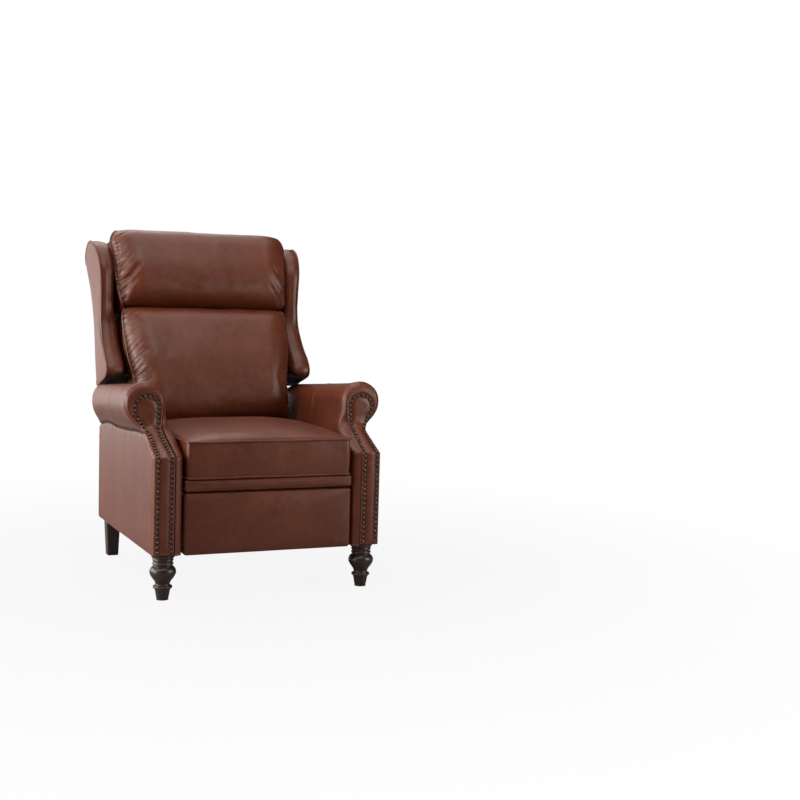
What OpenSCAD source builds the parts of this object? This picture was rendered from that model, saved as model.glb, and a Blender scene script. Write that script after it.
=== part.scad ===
// Wingback recliner on turned legs: a push back chair with rolled arms, wings that ride on the
// back, and a footrest on two scissor linkages. X runs across, the sitter faces -Y, Z is up.

/* [Arms] */
// Half width over the flat outer sides of the arms
arm_outer_x = 340; // [330:1:360]
// Width of an arm between its flat inner and outer sides
arm_w = 85; // [78:1:90]
// Length of an arm from its front panel to its rear end
arm_l = 697; // [680:1:720]
// Thickness of the padded covers on both sides of an arm
cover_t = 7; // [5:0.5:9]
// Height of the flat front panel's top edge above the floor
panel_top_z = 404; // [390:1:420]
// Thickness of the padded front facing
facing_t = 14; // [10:1:18]
// Width of the rounded strip between the arm's inner side and the facing
strip_w = 23; // [19:1:29]
// Distance of the scroll face behind the front panel
scroll_y = 132; // [120:1:145]
// How far the scrolls stand out beyond the arms' flat outer sides
roll_overhang = 48; // [38:1:60]
// Height of the scroll's top at the front
crest_front_z = 600; // [590:1:610]
// Height of the arm's crest at its rear end
crest_rear_z = 555; // [540:1:560]
// How much the roll narrows towards its rear end
roll_narrow = 23; // [10:1:30]
// Height of the seam under the roll at the front
seam_front_z = 458; // [452:1:464]
// Height of the seam under the roll at the rear
seam_rear_z = 430; // [422:1:440]
// Depth of the wooden posts inside the arm, front to back
post_d = 60; // [50:1:70]
// Height of the bottom rail inside the arm
rail_h = 37; // [30:1:45]
// Height of the top board inside the arm at its front end, below the seam
board_h = 45; // [30:1:55]

/* [Nail trim] */
// Radius of a nail head
nail_r = 4.4; // [3.5:0.1:4.8]
// Height of a nail head
nail_h = 2.4; // [1.5:0.1:3]
// Distance between two nails along their row
nail_pitch = 14; // [11:0.1:16]
// Distance of the nail rows from the facing's edges
nail_inset = 12; // [9:0.5:14]

/* [Legs] */
// Height of the legs, which is the height of the frame's underside
leg_h = 128; // [110:1:140]
// Greatest radius of the front leg's turned bulge
leg_bulge_r = 37; // [32:0.5:40]
// Radius of the front leg's foot
leg_foot_r = 17; // [14:0.5:22]
// Distance of the front legs' centres behind the front panel
front_leg_y = 39; // [36:0.5:46]
// Distance of the legs' centres inwards of the arms' outer sides
leg_inset = 39; // [37:0.5:41]
// Width of a rear leg at its top
rear_leg_top_w = 44; // [38:1:48]
// Width of a rear leg at the floor
rear_leg_foot_w = 34; // [28:1:38]
// How far a rear leg's foot stands behind its top
rear_leg_splay = 35; // [10:1:45]
// How far a rear leg's foot stands inwards of its top
rear_leg_lean = 8.8; // [0:0.1:12]
// Radius of the hanger bolts in the legs
bolt_r = 4; // [3:0.25:5]
// How far a hanger bolt reaches into the leg, and the same into the frame
bolt_reach = 40; // [30:1:50]

/* [Seat] */
// Free space between the seat cushion and each arm
seat_side_gap = 6; // [5:0.5:10]
// Distance of the seat cushion's rear end ahead of the recline pivot
seat_room = 115; // [112:1:130]
// Height of the piping along the cushion's lower edge
seat_low_z = 339; // [334:1:344]
// Height of the piping along the cushion's upper edge
seat_edge_z = 444; // [438:1:450]
// Height of the crown above the upper piping
seat_crown = 36; // [24:1:40]
// Height of the footrest panel's top, where the band under the seat begins
band_low_z = 304; // [300:1:307]
// Thickness of the padded band under the cushion
band_t = 14; // [10:1:18]
// Height of the wooden seat rails
seat_rail_h = 28; // [20:1:28]
// Width of the wooden seat rails
seat_rail_w = 48; // [40:1:60]
// Distance of the seat rails' rear end ahead of the recline pivot
seat_rail_room = 91; // [76:1:101]

/* [Back] */
// Rake of the back from upright, in degrees
rake = 22; // [18:0.5:23]
// Distance of the recline pivot ahead of the arms' rear end
pivot_room = 77; // [73:1:85]
// Height of the recline pivot
pivot_z = 330; // [325:1:335]
// Distance from the pivot up the back to the top of its frame
back_top_u = 704; // [690:1:712]
// Depth of the back's rear surface behind the pivot line
back_rear_v = 27; // [24:0.5:32]
// Thickness of the wooden parts of the back
back_wood_t = 26; // [20:1:30]
// Free space between the back's panel and each arm
back_side_gap = 9; // [5:0.5:15]
// Distance of the piping of both pillows ahead of the pivot line
piping_v = 118; // [105:1:125]
// How far the pillows' crowns stand ahead of their piping
pillow_crown = 66; // [50:1:75]
// Free space between the lumbar pillow's foot and each arm
lumbar_low_gap = 6; // [5:0.5:15]
// Free space between the lumbar pillow's top and each wing
lumbar_top_gap = 11; // [8:0.5:23]
// Distance from the pivot up the back to the lumbar pillow's foot
lumbar_low_u = 72; // [70:1:90]
// Distance from the pivot up the back to the crease between the pillows
crease_u = 471; // [455:1:485]
// Free space between the head pillow and each wing
head_side_gap = 4; // [2:0.5:13]
// Distance from the pivot up the back to the head pillow's top
head_top_u = 736; // [722:1:748]

/* [Wings] */
// Thickness of a wing at its foot
wing_t = 53; // [44:0.5:62]
// How far a wing's foot stands out beyond the arm's flat outer side
wing_overhang = 1; // [0:0.5:3]
// How much further out the wings stand at their top
wing_flare = 10; // [0:1:16]
// Distance from the pivot up the back to the wing's foot
wing_low_u = 240; // [236:1:250]
// Distance from the pivot up the back to the wing's top
wing_top_u = 712; // [695:1:722]
// How far the wing's upper lobe stands ahead of the pivot line
wing_lobe_v = 134; // [120:1:140]

/* [Footrest] */
// Height of the footrest panel's lower edge above the floor when closed
foot_low_z = 125; // [120:1:135]
// Gap between the footrest panel and the band above it
foot_gap = 3; // [2:0.5:6]
// Thickness of the footrest's pad
foot_pad_t = 44; // [35:1:44]
// Thickness of the footrest's board
foot_board_t = 16; // [12:1:18]
// How far the pad's crown stands ahead of its edges
foot_crown = 5; // [0:0.5:8]

/* [Mechanism] */
// Thickness of the steel plates and links
steel_t = 4; // [3:0.25:4.5]
// Free space between two neighbouring links
link_gap = 1.5; // [1.3:0.1:2]
// Half width of a link
link_r = 10; // [8:0.25:10]
// Radius of the pivot pins
pin_r = 4; // [3:0.25:5]
// Radial clearance of a pin in its bore
pin_clear = 0.05; // [0.02:0.01:0.09]
// Radial clearance at the two pivots that are left open in each linkage
open_clear = 3.4; // [3.2:0.1:3.8]
// Length of the swing links under the seat
swing_l = 60; // [55:1:64]
// Lean of the swing links with the footrest closed, in degrees
swing_lean = 36; // [30:1:40]
// Height of the swing links' lower pivots
swing_z = 190; // [186:1:196]
// Distance of the front swing links' lower pivots behind the front panel
front_swing_y = 150; // [140:1:170]
// Distance of the rear swing links' lower pivots ahead of the recline pivot
rear_swing_room = 200; // [170:1:210]
// Length of the footrest's drive link between its pivots
drive_l = 202; // [200:0.5:203]
// Length of the follower link between its end pivots
guide_l = 232.3; // [231:0.1:233]
// Radius of the torque tube between the two guide links
torque_r = 7.5; // [6:0.25:8]

/* [Hidden] */
$fn = 48;

// Clearances and overruns
soft_gap = 0.3;
cut_over = 1;
tip = 0.2;
head_t = 0.6;
head_extra_r = 2.5;

// Colours
leather = [0.40, 0.19, 0.12];
dark_wood = [0.17, 0.10, 0.07];
raw_wood = [0.72, 0.56, 0.38];
steel = [0.30, 0.30, 0.32];
brass = [0.45, 0.32, 0.16];

// Half widths that follow from the arms' outer sides
arm_inner_x = arm_outer_x - arm_w;
crease_x = arm_inner_x + strip_w;
roll_out_x = arm_outer_x + roll_overhang;
leg_x = arm_outer_x - leg_inset;
seat_x = arm_inner_x - seat_side_gap;
back_low_x = arm_inner_x - back_side_gap;
lumbar_low_x = arm_inner_x - lumbar_low_gap;
wing_outer_x = arm_outer_x + wing_overhang;
wing_inner_x = wing_outer_x - wing_t;
lumbar_top_x = wing_inner_x - lumbar_top_gap;
head_x = wing_inner_x - head_side_gap;

// Distances behind the front panel that follow from the arms' length
pivot_y = arm_l - pivot_room;
seat_d = pivot_y - seat_room;
seat_rail_end_y = pivot_y - seat_rail_room;
rear_swing_y = pivot_y - rear_swing_room;

// The chair stands with its front panel at front_y, so that Y runs through the middle of its depth
chair_d = pivot_y + back_top_u * sin(rake) + back_rear_v * cos(rake);
front_y = -chair_d / 2;

// Inside the arm
frame_in_x = arm_inner_x + cover_t;
frame_out_x = arm_outer_x - cover_t;
frame_w = frame_out_x - frame_in_x;
rear_y = arm_l - cover_t;
rear_post_y = rear_y - post_d + cover_t;
inner_strip_r = (crease_x - arm_inner_x) * 0.85;

function mix(a, b, t) = a + (b - a) * t;
function seam_z(y) = mix(seam_front_z, seam_rear_z, (y - scroll_y) / (arm_l - scroll_y));
function crest_z(y) = mix(crest_front_z, crest_rear_z, (y - scroll_y) / (arm_l - scroll_y));

// A smooth line through a list of points, with some steps between each two of them
function knot(p, i) = p[max(0, min(len(p) - 1, i))];
function spline_at(p, i, t) =
    let (a = knot(p, i - 1), b = knot(p, i), c = knot(p, i + 1), d = knot(p, i + 2))
    0.5 * (2 * b + (c - a) * t + (2 * a - 5 * b + 4 * c - d) * t * t + (3 * b - a - 3 * c + d) * t * t * t);
function spline(p, steps) = [
    for (i = [0 : len(p) - 2]) for (k = [0 : steps - 1]) spline_at(p, i, k / steps),
    p[len(p) - 1]
];

function middle(ring) = [for (k = [0 : 2]) mix(min([for (p = ring) p[k]]), max([for (p = ring) p[k]]), 0.5)];

// A closed solid of triangles through rings that have equally many points
module loft(rings) {
    n = len(rings[0]);
    m = len(rings);
    points = concat([for (r = rings) for (p = r) p], [middle(rings[0]), middle(rings[m - 1])]);
    sides = [
        for (j = [0 : m - 2]) for (i = [0 : n - 1]) for (half = [0, 1])
            let (a = j * n + i, b = j * n + (i + 1) % n, c = a + n, d = b + n)
            half == 0 ? [a, c, b] : [b, c, d]
    ];
    first_cap = [for (i = [0 : n - 1]) [i, (i + 1) % n, m * n]];
    last_cap = [for (i = [0 : n - 1]) [(m - 1) * n + (i + 1) % n, (m - 1) * n + i, m * n + 1]];
    polyhedron(points, concat(sides, first_cap, last_cap), convexity = 4);
}

// Moves the chair's own measures, taken from its front panel, into the part's frame
module place() {
    translate([0, front_y, 0])
        children();
}

module on_side(s) {
    if (s > 0)
        children();
    else
        mirror([1, 0, 0])
            children();
}

// A plate that lies in the YZ plane at x, drawn with Y to the right and Z up
module plate_at(x, t) {
    translate([x, 0, 0])
        rotate([90, 0, 90])
            linear_extrude(t)
                children();
}

// A block given by its two corners
module block(low, high) {
    translate(low)
        cube(high - low);
}

// A round bar along X
module bar(x, t, p, r) {
    translate([x, p[0], p[1]])
        rotate([0, 90, 0])
            cylinder(h = t, r = r);
}

// Legs
rear_leg_inset = 3;
rear_leg_y = rear_y - rear_leg_top_w / 2 - rear_leg_inset;

// Radius and height of the turned leg from foot to top, as shares of the bulge and the leg's height
leg_shares = [
    [0.46, 0], [0.45, 0.03], [0.50, 0.10], [0.56, 0.20], [0.62, 0.245], [0.70, 0.26], [0.73, 0.285],
    [0.70, 0.31], [0.58, 0.325], [0.55, 0.36], [0.64, 0.42], [0.84, 0.50], [0.97, 0.57], [1.0, 0.62],
    [0.97, 0.67], [0.86, 0.72], [0.74, 0.745], [0.70, 0.76], [0.76, 0.775], [0.80, 0.80], [0.76, 0.825],
    [0.71, 0.84], [0.76, 0.86], [0.80, 0.885], [0.76, 0.91], [0.72, 0.925], [0.86, 0.94], [0.88, 1.0]
];

module bolt_hole(x, y) {
    translate([x, y, leg_h - bolt_reach])
        cylinder(h = 2 * bolt_reach, r = bolt_r + pin_clear);
}

module front_leg(s) {
    color(dark_wood)
        place()
            on_side(s)
                difference() {
                    translate([leg_x, front_leg_y, 0])
                        rotate_extrude()
                            polygon(concat(
                                [[0, 0]],
                                [for (p = leg_shares) [max(p[0], leg_foot_r / leg_bulge_r) * leg_bulge_r, p[1] * leg_h]],
                                [[0, leg_h]]
                            ));
                    bolt_hole(leg_x, front_leg_y);
                }
}

module rear_leg(s) {
    top_r = rear_leg_top_w / 2;
    foot_r = rear_leg_foot_w / 2;
    foot = [leg_x - rear_leg_lean, rear_leg_y + rear_leg_splay];
    ring_shares = [[-1, -1], [1, -1], [1, 1], [-1, 1]];
    rings = [
        [for (c = ring_shares) [foot[0] + c[0] * foot_r, foot[1] + c[1] * foot_r, 0]],
        [for (c = ring_shares) [leg_x + c[0] * top_r, rear_leg_y + c[1] * top_r, leg_h]]
    ];
    color(dark_wood)
        place()
            on_side(s)
                difference() {
                    loft(rings);
                    bolt_hole(leg_x, rear_leg_y);
                }
}

module leg_bolts() {
    color(steel)
        place()
            for (s = [-1, 1])
                for (c = [[leg_x, front_leg_y], [leg_x, rear_leg_y]])
                    translate([s * c[0], c[1], leg_h - bolt_reach + tip])
                        cylinder(h = 2 * (bolt_reach - tip), r = bolt_r);
}

// Wooden frame inside the arms
module arm_front_post(s) {
    color(raw_wood)
        place()
            on_side(s)
                difference() {
                    block([frame_in_x, facing_t, leg_h], [frame_out_x, facing_t + post_d, panel_top_z]);
                    bolt_hole(leg_x, front_leg_y);
                }
}

module arm_rear_post(s) {
    color(raw_wood)
        place()
            on_side(s)
                difference() {
                    block([frame_in_x, rear_post_y, leg_h], [frame_out_x, rear_y, seam_rear_z]);
                    bolt_hole(leg_x, rear_leg_y);
                }
}

module arm_bottom_rail(s) {
    color(raw_wood)
        place()
            on_side(s)
                block([frame_in_x, facing_t + post_d, leg_h], [frame_out_x, rear_post_y, leg_h + rail_h]);
}

board_y = scroll_y + facing_t;
board_low_z = seam_z(rear_post_y) - board_h / 2;

module arm_top_board(s) {
    color(raw_wood)
        place()
            on_side(s)
                plate_at(frame_in_x, frame_w)
                    polygon([
                        [facing_t + post_d, board_low_z - board_h / 2],
                        [rear_post_y, board_low_z],
                        [rear_post_y, seam_z(rear_post_y)],
                        [board_y, seam_z(board_y)],
                        [facing_t + post_d, board_low_z]
                    ]);
}

module rear_bottom_rail() {
    color(raw_wood)
        place()
            block([-frame_in_x, rear_post_y, leg_h], [frame_in_x, rear_post_y + rail_h, leg_h + 2 * rail_h]);
}

rear_cover_z = band_low_z - 4 * soft_gap;

module rear_top_rail() {
    color(raw_wood)
        place()
            block([-frame_in_x, rear_post_y + rail_h / 2, rear_cover_z - rail_h],
                [frame_in_x, rear_y, rear_cover_z]);
}

module rear_cover() {
    color(leather)
        place()
            block([-frame_in_x + soft_gap, rear_y, leg_h], [frame_in_x - soft_gap, arm_l, rear_cover_z]);
}

// The facing from the top of the flat panel to the scroll's top. Each row gives the height, the
// inner and the outer edge and the distance back, as shares of the neck's height, of the width
// from the crease to the widest point and of the scroll's distance back.
facing_shares = [
    [0, 0, 0.564, 0], [0.071, 0.01, 0.56, 0.21], [0.143, 0.03, 0.56, 0.42], [0.219, 0.045, 0.555, 0.64],
    [0.291, 0.055, 0.56, 0.83], [0.347, 0.06, 0.60, 0.93], [0.403, 0.05, 0.68, 0.98], [0.474, 0.03, 0.80, 1],
    [0.551, 0.015, 0.90, 1], [0.633, 0.01, 0.962, 1], [0.71, 0.015, 0.978, 1], [0.79, 0.04, 0.955, 1],
    [0.86, 0.115, 0.875, 1], [0.912, 0.235, 0.75, 1], [0.945, 0.37, 0.62, 1], [0.958, 0.455, 0.535, 1]
];
neck_h = crest_front_z - panel_top_z;
scroll_w = roll_out_x - crease_x;
function facing_row(r) = [
    panel_top_z + r[0] * neck_h,
    crease_x + r[1] * scroll_w,
    min(crease_x + r[2] * scroll_w, r[3] < 0.9 ? arm_outer_x : roll_out_x),
    r[3] * scroll_y
];
facing_rows = concat([[leg_h, crease_x, arm_outer_x, 0]], [for (r = facing_shares) facing_row(r)]);
facing_y_table = [for (r = facing_rows) [r[0], r[3]]];
facing_in_table = [for (r = facing_rows) [r[0], r[1]]];
facing_out_table = [for (r = facing_rows) [r[0], r[2]]];

module arm_facing(s) {
    color(leather)
        place()
            on_side(s)
                loft([
                    for (r = facing_rows) [
                        [r[1], r[3], r[0]], [r[2], r[3], r[0]],
                        [r[2], r[3] + facing_t - soft_gap, r[0]], [r[1], r[3] + facing_t - soft_gap, r[0]]
                    ]
                ]);
}

// One row of nails runs up the inner edge, round the scroll and down the outer edge
ring_z = mix(panel_top_z, crest_front_z, 0.622);
ring_x = mix(crease_x, roll_out_x, 0.464);
ring_r = 0.33 * scroll_w;
function inner_nail_x(z) = lookup(z, facing_in_table) + nail_inset;
function outer_nail_x(z) = lookup(z, facing_out_table) - nail_inset;
row_end_z = mix(panel_top_z, crest_front_z, 0.36);
row_steps = 12;
nail_line = concat(
    [for (k = [0 : row_steps]) let (z = mix(leg_h + nail_inset, row_end_z, k / row_steps)) [inner_nail_x(z), z]],
    [for (a = [205 : -15 : -45]) [ring_x + ring_r * cos(a), ring_z + ring_r * sin(a)]],
    [for (k = [row_steps : -1 : 0]) let (z = mix(leg_h + nail_inset, row_end_z, k / row_steps)) [outer_nail_x(z), z]]
);
function run_to(line, i) = i == 0 ? 0 : run_to(line, i - 1) + norm(line[i] - line[i - 1]);
nail_runs = [for (i = [0 : len(nail_line) - 1]) run_to(nail_line, i)];
nail_total = nail_runs[len(nail_runs) - 1];
nail_x_table = [for (i = [0 : len(nail_line) - 1]) [nail_runs[i], nail_line[i][0]]];
nail_z_table = [for (i = [0 : len(nail_line) - 1]) [nail_runs[i], nail_line[i][1]]];
nail_count = floor(nail_total / nail_pitch);
function facing_y(z) = lookup(z, facing_y_table);
function facing_slope(z) = (facing_y(z + nail_r) - facing_y(z - nail_r)) / (2 * nail_r);
// A nail sits on the foremost point that the facing has under its head
function nail_seat_y(z) = min([for (k = [-1 : 0.1 : 1]) facing_y(z + k * nail_r) - facing_slope(z) * k * nail_r]);

module nail_trim(s) {
    color(brass)
        place()
            on_side(s)
                for (i = [0 : nail_count])
                    let (run = i * nail_total / nail_count, z = lookup(run, nail_z_table))
                        translate([lookup(run, nail_x_table), nail_seat_y(z), z])
                            rotate([90 - atan(facing_slope(z)), 0, 0])
                                translate([0, 0, tip])
                                    cylinder(h = nail_h, r1 = nail_r, r2 = nail_r / 2);
}

// The padded covers on both sides of an arm, cut along the facing's back and the roll's seam
module arm_silhouette(rear) {
    front = [for (r = facing_rows) if (r[0] < seam_front_z) [r[3] + facing_t, r[0]]];
    polygon(concat(
        front,
        [[board_y, seam_z(board_y)], [rear, seam_z(rear)], [rear, leg_h]]
    ));
}

module outer_side_cover(s) {
    color(leather)
        place()
            on_side(s)
                union() {
                    plate_at(frame_out_x, cover_t)
                        arm_silhouette(arm_l);
                    block([frame_in_x, rear_y, leg_h], [frame_out_x, arm_l, seam_z(arm_l)]);
                }
}

module inner_arm_cover(s) {
    color(leather)
        place()
            on_side(s)
                union() {
                    plate_at(arm_inner_x, cover_t)
                        arm_silhouette(rear_post_y);
                    intersection() {
                        translate([arm_inner_x, 0, leg_h])
                            linear_extrude(panel_top_z - leg_h)
                                translate([inner_strip_r, inner_strip_r])
                                    circle(inner_strip_r);
                        block([arm_inner_x, 0, leg_h],
                            [crease_x - soft_gap, facing_t - soft_gap, panel_top_z]);
                    }
                    block([arm_inner_x, facing_t - soft_gap, leg_h],
                        [frame_in_x, facing_t, panel_top_z]);
                }
}

// The roll's section from its outer seam over the crest to its inner seam, as shares of its width
// and height
roll_shares = [
    [0.62, 0], [0.72, 0.05], [0.873, 0.22], [0.976, 0.43], [1, 0.64], [0.936, 0.83], [0.78, 0.96],
    [0.556, 1], [0.333, 0.955], [0.183, 0.815], [0.119, 0.64], [0.103, 0.43], [0.048, 0.19], [0, 0]
];
roll_steps = 2;
roll_line_shares = spline(roll_shares, roll_steps);
roll_outline_shares = [for (i = [len(roll_line_shares) - 1 : -1 : 0]) roll_line_shares[i]];
// Where the roll is measured along its length, with how full it is there
roll_station_shares = [[0, 0.985], [0.25, 1], [0.5, 1], [0.75, 1], [0.9, 0.99], [0.96, 0.95], [0.99, 0.86], [1, 0.72]];

function roll_ring(t, full) =
    let (
        y = mix(board_y, arm_l, t),
        low = seam_z(y) + soft_gap,
        high = mix(low, crest_z(y) - soft_gap, full),
        wide = roll_out_x - roll_narrow * t - frame_in_x,
        centre = wide * roll_shares[0][0] / 2
    )
    [for (p = roll_outline_shares)
        [frame_in_x + mix(centre, p[0] * wide, full), y, mix(low, high, p[1])]];

module arm_roll(s) {
    color(leather)
        place()
            on_side(s)
                loft([for (st = roll_station_shares) roll_ring(st[0], st[1])]);
}

// Layers of the mechanism, from the arm inwards
layer = steel_t + link_gap;
bracket_x = arm_inner_x - steel_t;
swing_x = bracket_x - layer;
plate_x = swing_x - layer;
drive_x = plate_x - layer;
carrier_x = drive_x - layer;
guide_x = carrier_x - layer;
tie_x = guide_x - layer;

// Pivots of the mechanism with the footrest closed, as [distance back, height]
function swing_top(y) = [y + swing_l * sin(swing_lean), swing_z + swing_l * cos(swing_lean)];
front_swing_low = [front_swing_y, swing_z];
rear_swing_low = [rear_swing_y, swing_z];
front_swing_top = swing_top(front_swing_y);
rear_swing_top = swing_top(rear_swing_y);
recline_pivot = [pivot_y, pivot_z];
drive_pivot_y = 132.3;
drive_pivot_z = 256.1;
guide_pivot_y = 112.2;
guide_pivot_z = 293;
drive_pivot = [drive_pivot_y, drive_pivot_z];
guide_pivot = [guide_pivot_y, guide_pivot_z];
drive_angle = 145.52;
guide_angle = 144.7;
guide_crank = 14.9;
cross_along = 36.8;
cross_above = 21.95;
// The footrest's own two pivots, behind its board and above its lower edge
foot_back_y = foot_pad_t + foot_board_t;
upper_hanger_depth = 16.1;
upper_hanger_rise = 125.85;
lower_hanger_depth = 21.28;
lower_hanger_rise = 80.37;
carrier_tip = [foot_back_y + upper_hanger_depth, foot_low_z + upper_hanger_rise];
tie_tip = [foot_back_y + lower_hanger_depth, foot_low_z + lower_hanger_rise];
// A step of length l forward at angle a above the floor, and the same square to it
function step(l, a) = [-l * cos(a), l * sin(a)];
function step_across(l, a) = [l * sin(a), l * cos(a)];
drive_tip = drive_pivot + step(drive_l, -drive_angle);
guide_tip = guide_pivot + step(guide_l, -guide_angle) + step_across(guide_crank, -guide_angle);
carrier_line = carrier_tip - drive_tip;
carrier_angle = atan2(carrier_line[1], -carrier_line[0]);
cross_pivot = drive_tip + step(cross_along, carrier_angle) + step_across(cross_above, carrier_angle);

echo(front_y = front_y, front_swing_low = front_swing_low, rear_swing_low = rear_swing_low);
echo(front_swing_top = front_swing_top, rear_swing_top = rear_swing_top);
echo(drive_pivot = drive_pivot, drive_tip = drive_tip, carrier_tip = carrier_tip);
echo(guide_pivot = guide_pivot, guide_tip = guide_tip, cross_pivot = cross_pivot, tie_tip = tie_tip);

// A rail across the chair's underside, behind the folded links
stretcher_y = drive_tip[0] + 4 * link_r;
stretcher_d = rail_h + link_r;

module cross_stretcher() {
    color(raw_wood)
        place()
            block([-arm_inner_x, stretcher_y, leg_h], [arm_inner_x, stretcher_y + stretcher_d, leg_h + rail_h]);
}

// A pin that stands inwards from the plate at x through the plate at next_x, with a flat head
module pin_in(x, next_x, p) {
    bar(next_x - tip, x - next_x + tip, p, pin_r);
    bar(next_x - tip - head_t, head_t, p, pin_r + head_extra_r);
}

// The same from the plate at x outwards
module pin_out(x, next_x, p) {
    bar(x + steel_t, next_x - x + tip, p, pin_r);
    bar(next_x + steel_t + tip, head_t, p, pin_r + head_extra_r);
}

module bore(x, p, clear) {
    bar(x - cut_over, steel_t + 2 * cut_over, p, pin_r + clear);
}

// The outline of a straight link between two pivots
module link_outline(a, b) {
    run = b - a;
    translate(a)
        rotate(atan2(run[1], run[0])) {
            translate([0, -link_r])
                square([norm(run), 2 * link_r]);
            circle(link_r);
        }
    translate(b)
        circle(link_r);
}

module both_sides() {
    for (s = [-1, 1])
        on_side(s)
            children();
}

module base_bracket(s) {
    color(steel)
        place()
            on_side(s) {
                block([bracket_x, front_swing_y - 5 * link_r, leg_h + rail_h],
                    [arm_inner_x, rear_swing_y + 5 * link_r, swing_z + 2 * link_r]);
                pin_in(bracket_x, swing_x, front_swing_low);
                pin_in(bracket_x, swing_x, rear_swing_low);
            }
}

module swing_links(low, high) {
    color(steel)
        place()
            both_sides()
                difference() {
                    plate_at(swing_x, steel_t)
                        link_outline(low, high);
                    bore(swing_x, low, pin_clear);
                    bore(swing_x, high, pin_clear);
                }
}

plate_top_z = seat_low_z - seat_rail_h - steel_t - link_gap;
plate_low_z = front_swing_top[1] - 1.2 * link_r;
plate_front_y = guide_pivot[0] - 2 * link_r;
plate_rear_y = rear_swing_top[0] + 2 * link_r;
pivot_pad_r = 1.6 * link_r;

module seat_side_plate(s) {
    color(steel)
        place()
            on_side(s) {
                plate_at(plate_x, steel_t)
                    union() {
                        polygon([
                            [plate_front_y, plate_top_z],
                            [plate_front_y, guide_pivot[1] - 2 * link_r],
                            [front_swing_top[0] - 2 * link_r, plate_low_z],
                            [plate_rear_y, plate_low_z],
                            [pivot_y + pivot_pad_r * sin(rake), pivot_z - pivot_pad_r * cos(rake)],
                            [pivot_y - pivot_pad_r * sin(rake), pivot_z + pivot_pad_r * cos(rake)],
                            [seat_rail_end_y, plate_top_z]
                        ]);
                        translate(recline_pivot)
                            circle(pivot_pad_r);
                    }
                block([plate_x - link_r, plate_front_y, plate_top_z - steel_t],
                    [plate_x, seat_rail_end_y, plate_top_z]);
                pin_out(plate_x, swing_x, front_swing_top);
                pin_out(plate_x, swing_x, rear_swing_top);
                pin_in(plate_x, drive_x, drive_pivot);
                bar(guide_x + tip, plate_x - guide_x - tip, guide_pivot, pin_r);
                pin_in(plate_x, drive_x, recline_pivot);
            }
}

// Wooden seat frame, its springs and cushion
seat_rail_z = plate_top_z;
seat_rail_x = plate_x + steel_t;
seat_rail_y = band_t + soft_gap;
spring_t = 3.5;
seat_wood_top = seat_low_z - spring_t - soft_gap;

module seat_front_rail() {
    color(raw_wood)
        place()
            block([-seat_rail_x, seat_rail_y, seat_rail_z],
                [seat_rail_x, seat_rail_y + seat_rail_w, seat_wood_top]);
}

module seat_rear_rail() {
    color(raw_wood)
        place()
            block([-seat_rail_x, seat_rail_end_y - seat_rail_w, seat_rail_z],
                [seat_rail_x, seat_rail_end_y, seat_wood_top]);
}

module seat_side_rails() {
    color(raw_wood)
        place()
            both_sides()
                block([seat_rail_x - seat_rail_w, seat_rail_y + seat_rail_w, seat_rail_z],
                    [seat_rail_x, seat_rail_end_y - seat_rail_w, seat_wood_top]);
}

// A flat zigzag spring that runs along Y, drawn in its own plane
module zigzag(run, swing, waves) {
    steps = 8;
    line = [
        for (i = [0 : waves * steps])
            let (t = i / (waves * steps)) [swing * sin(t * waves * 360), run * t]
    ];
    slope = [
        for (i = [0 : waves * steps])
            let (c = swing * waves * 2 * PI / run * cos(i / steps * 360)) [1, -c] / norm([1, c])
    ];
    linear_extrude(spring_t)
        polygon(concat(
            [for (i = [0 : len(line) - 1]) line[i] + slope[i] * spring_t / 2],
            [for (i = [len(line) - 1 : -1 : 0]) line[i] - slope[i] * spring_t / 2]
        ));
}

spring_swing_share = 0.055;
seat_spring_shares = [-0.74, -0.37, 0, 0.37, 0.74];
back_spring_shares = [-0.72, -0.24, 0.24, 0.72];

module seat_springs() {
    spring_run = seat_rail_end_y - seat_rail_y - seat_rail_w;
    color(steel)
        place()
            for (t = seat_spring_shares)
                translate([t * (seat_rail_x - seat_rail_w), seat_rail_y + seat_rail_w / 2, seat_wood_top])
                    zigzag(spring_run, seat_x * spring_swing_share, 8);
}

// A cushion's outline at one level: a box with rounded corners whose sides pull in between them.
// A smaller corner share gives a squarer corner.
ring_n = 40;
boxed_corner_share = 0.1;
pillow_corner_share = 0.2;
function box_edge(a, p) = [sign(cos(a)) * pow(abs(cos(a)), p), sign(sin(a)) * pow(abs(sin(a)), p)];
function cushion_ring(half, taper, draw, corner, full, z) = [
    for (i = [0 : ring_n - 1])
        let (
            e = box_edge(i * 360 / ring_n + 360 / ring_n / 2, corner),
            wide = mix(1, taper, (1 - e[1]) / 2),
            x = e[0] * half[0] * full * wide * (1 - draw * (1 - e[1] * e[1])),
            y = e[1] * half[1] * mix(1, full, half[0] / (half[0] + half[1])) * (1 - draw * (1 - e[0] * e[0]))
        )
        [x, y, z]
];

// How full a cushion is at each height, from its flat underside over the piping to its crown. The
// heights run from 0 at the underside to 1 at the piping and on to 2 at the crown.
boxed_shares = [
    [0.965, 0], [0.99, 0.06], [0.985, 0.5], [1, 0.98], [1, 1.02], [0.965, 1.2], [0.9, 1.4],
    [0.78, 1.62], [0.6, 1.8], [0.38, 1.93], [0.15, 1.99]
];
pillow_shares = [
    [0.93, 0], [0.955, 0.35], [0.975, 0.75], [1, 0.97], [1, 1.03], [0.985, 1.25], [0.945, 1.48],
    [0.87, 1.68], [0.74, 1.83], [0.55, 1.93], [0.3, 1.985]
];
function level_z(low, edge, crown, t) = t < 1 ? mix(low, edge, t) : mix(edge, edge + crown, t - 1);

module cushion(half, taper, draw, corner, low, edge, crown, shares) {
    loft([
        for (p = shares) cushion_ring(half, taper, draw, corner, p[0], level_z(low, edge, crown, p[1]))
    ]);
}

seat_draw = 0.01;

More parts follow.
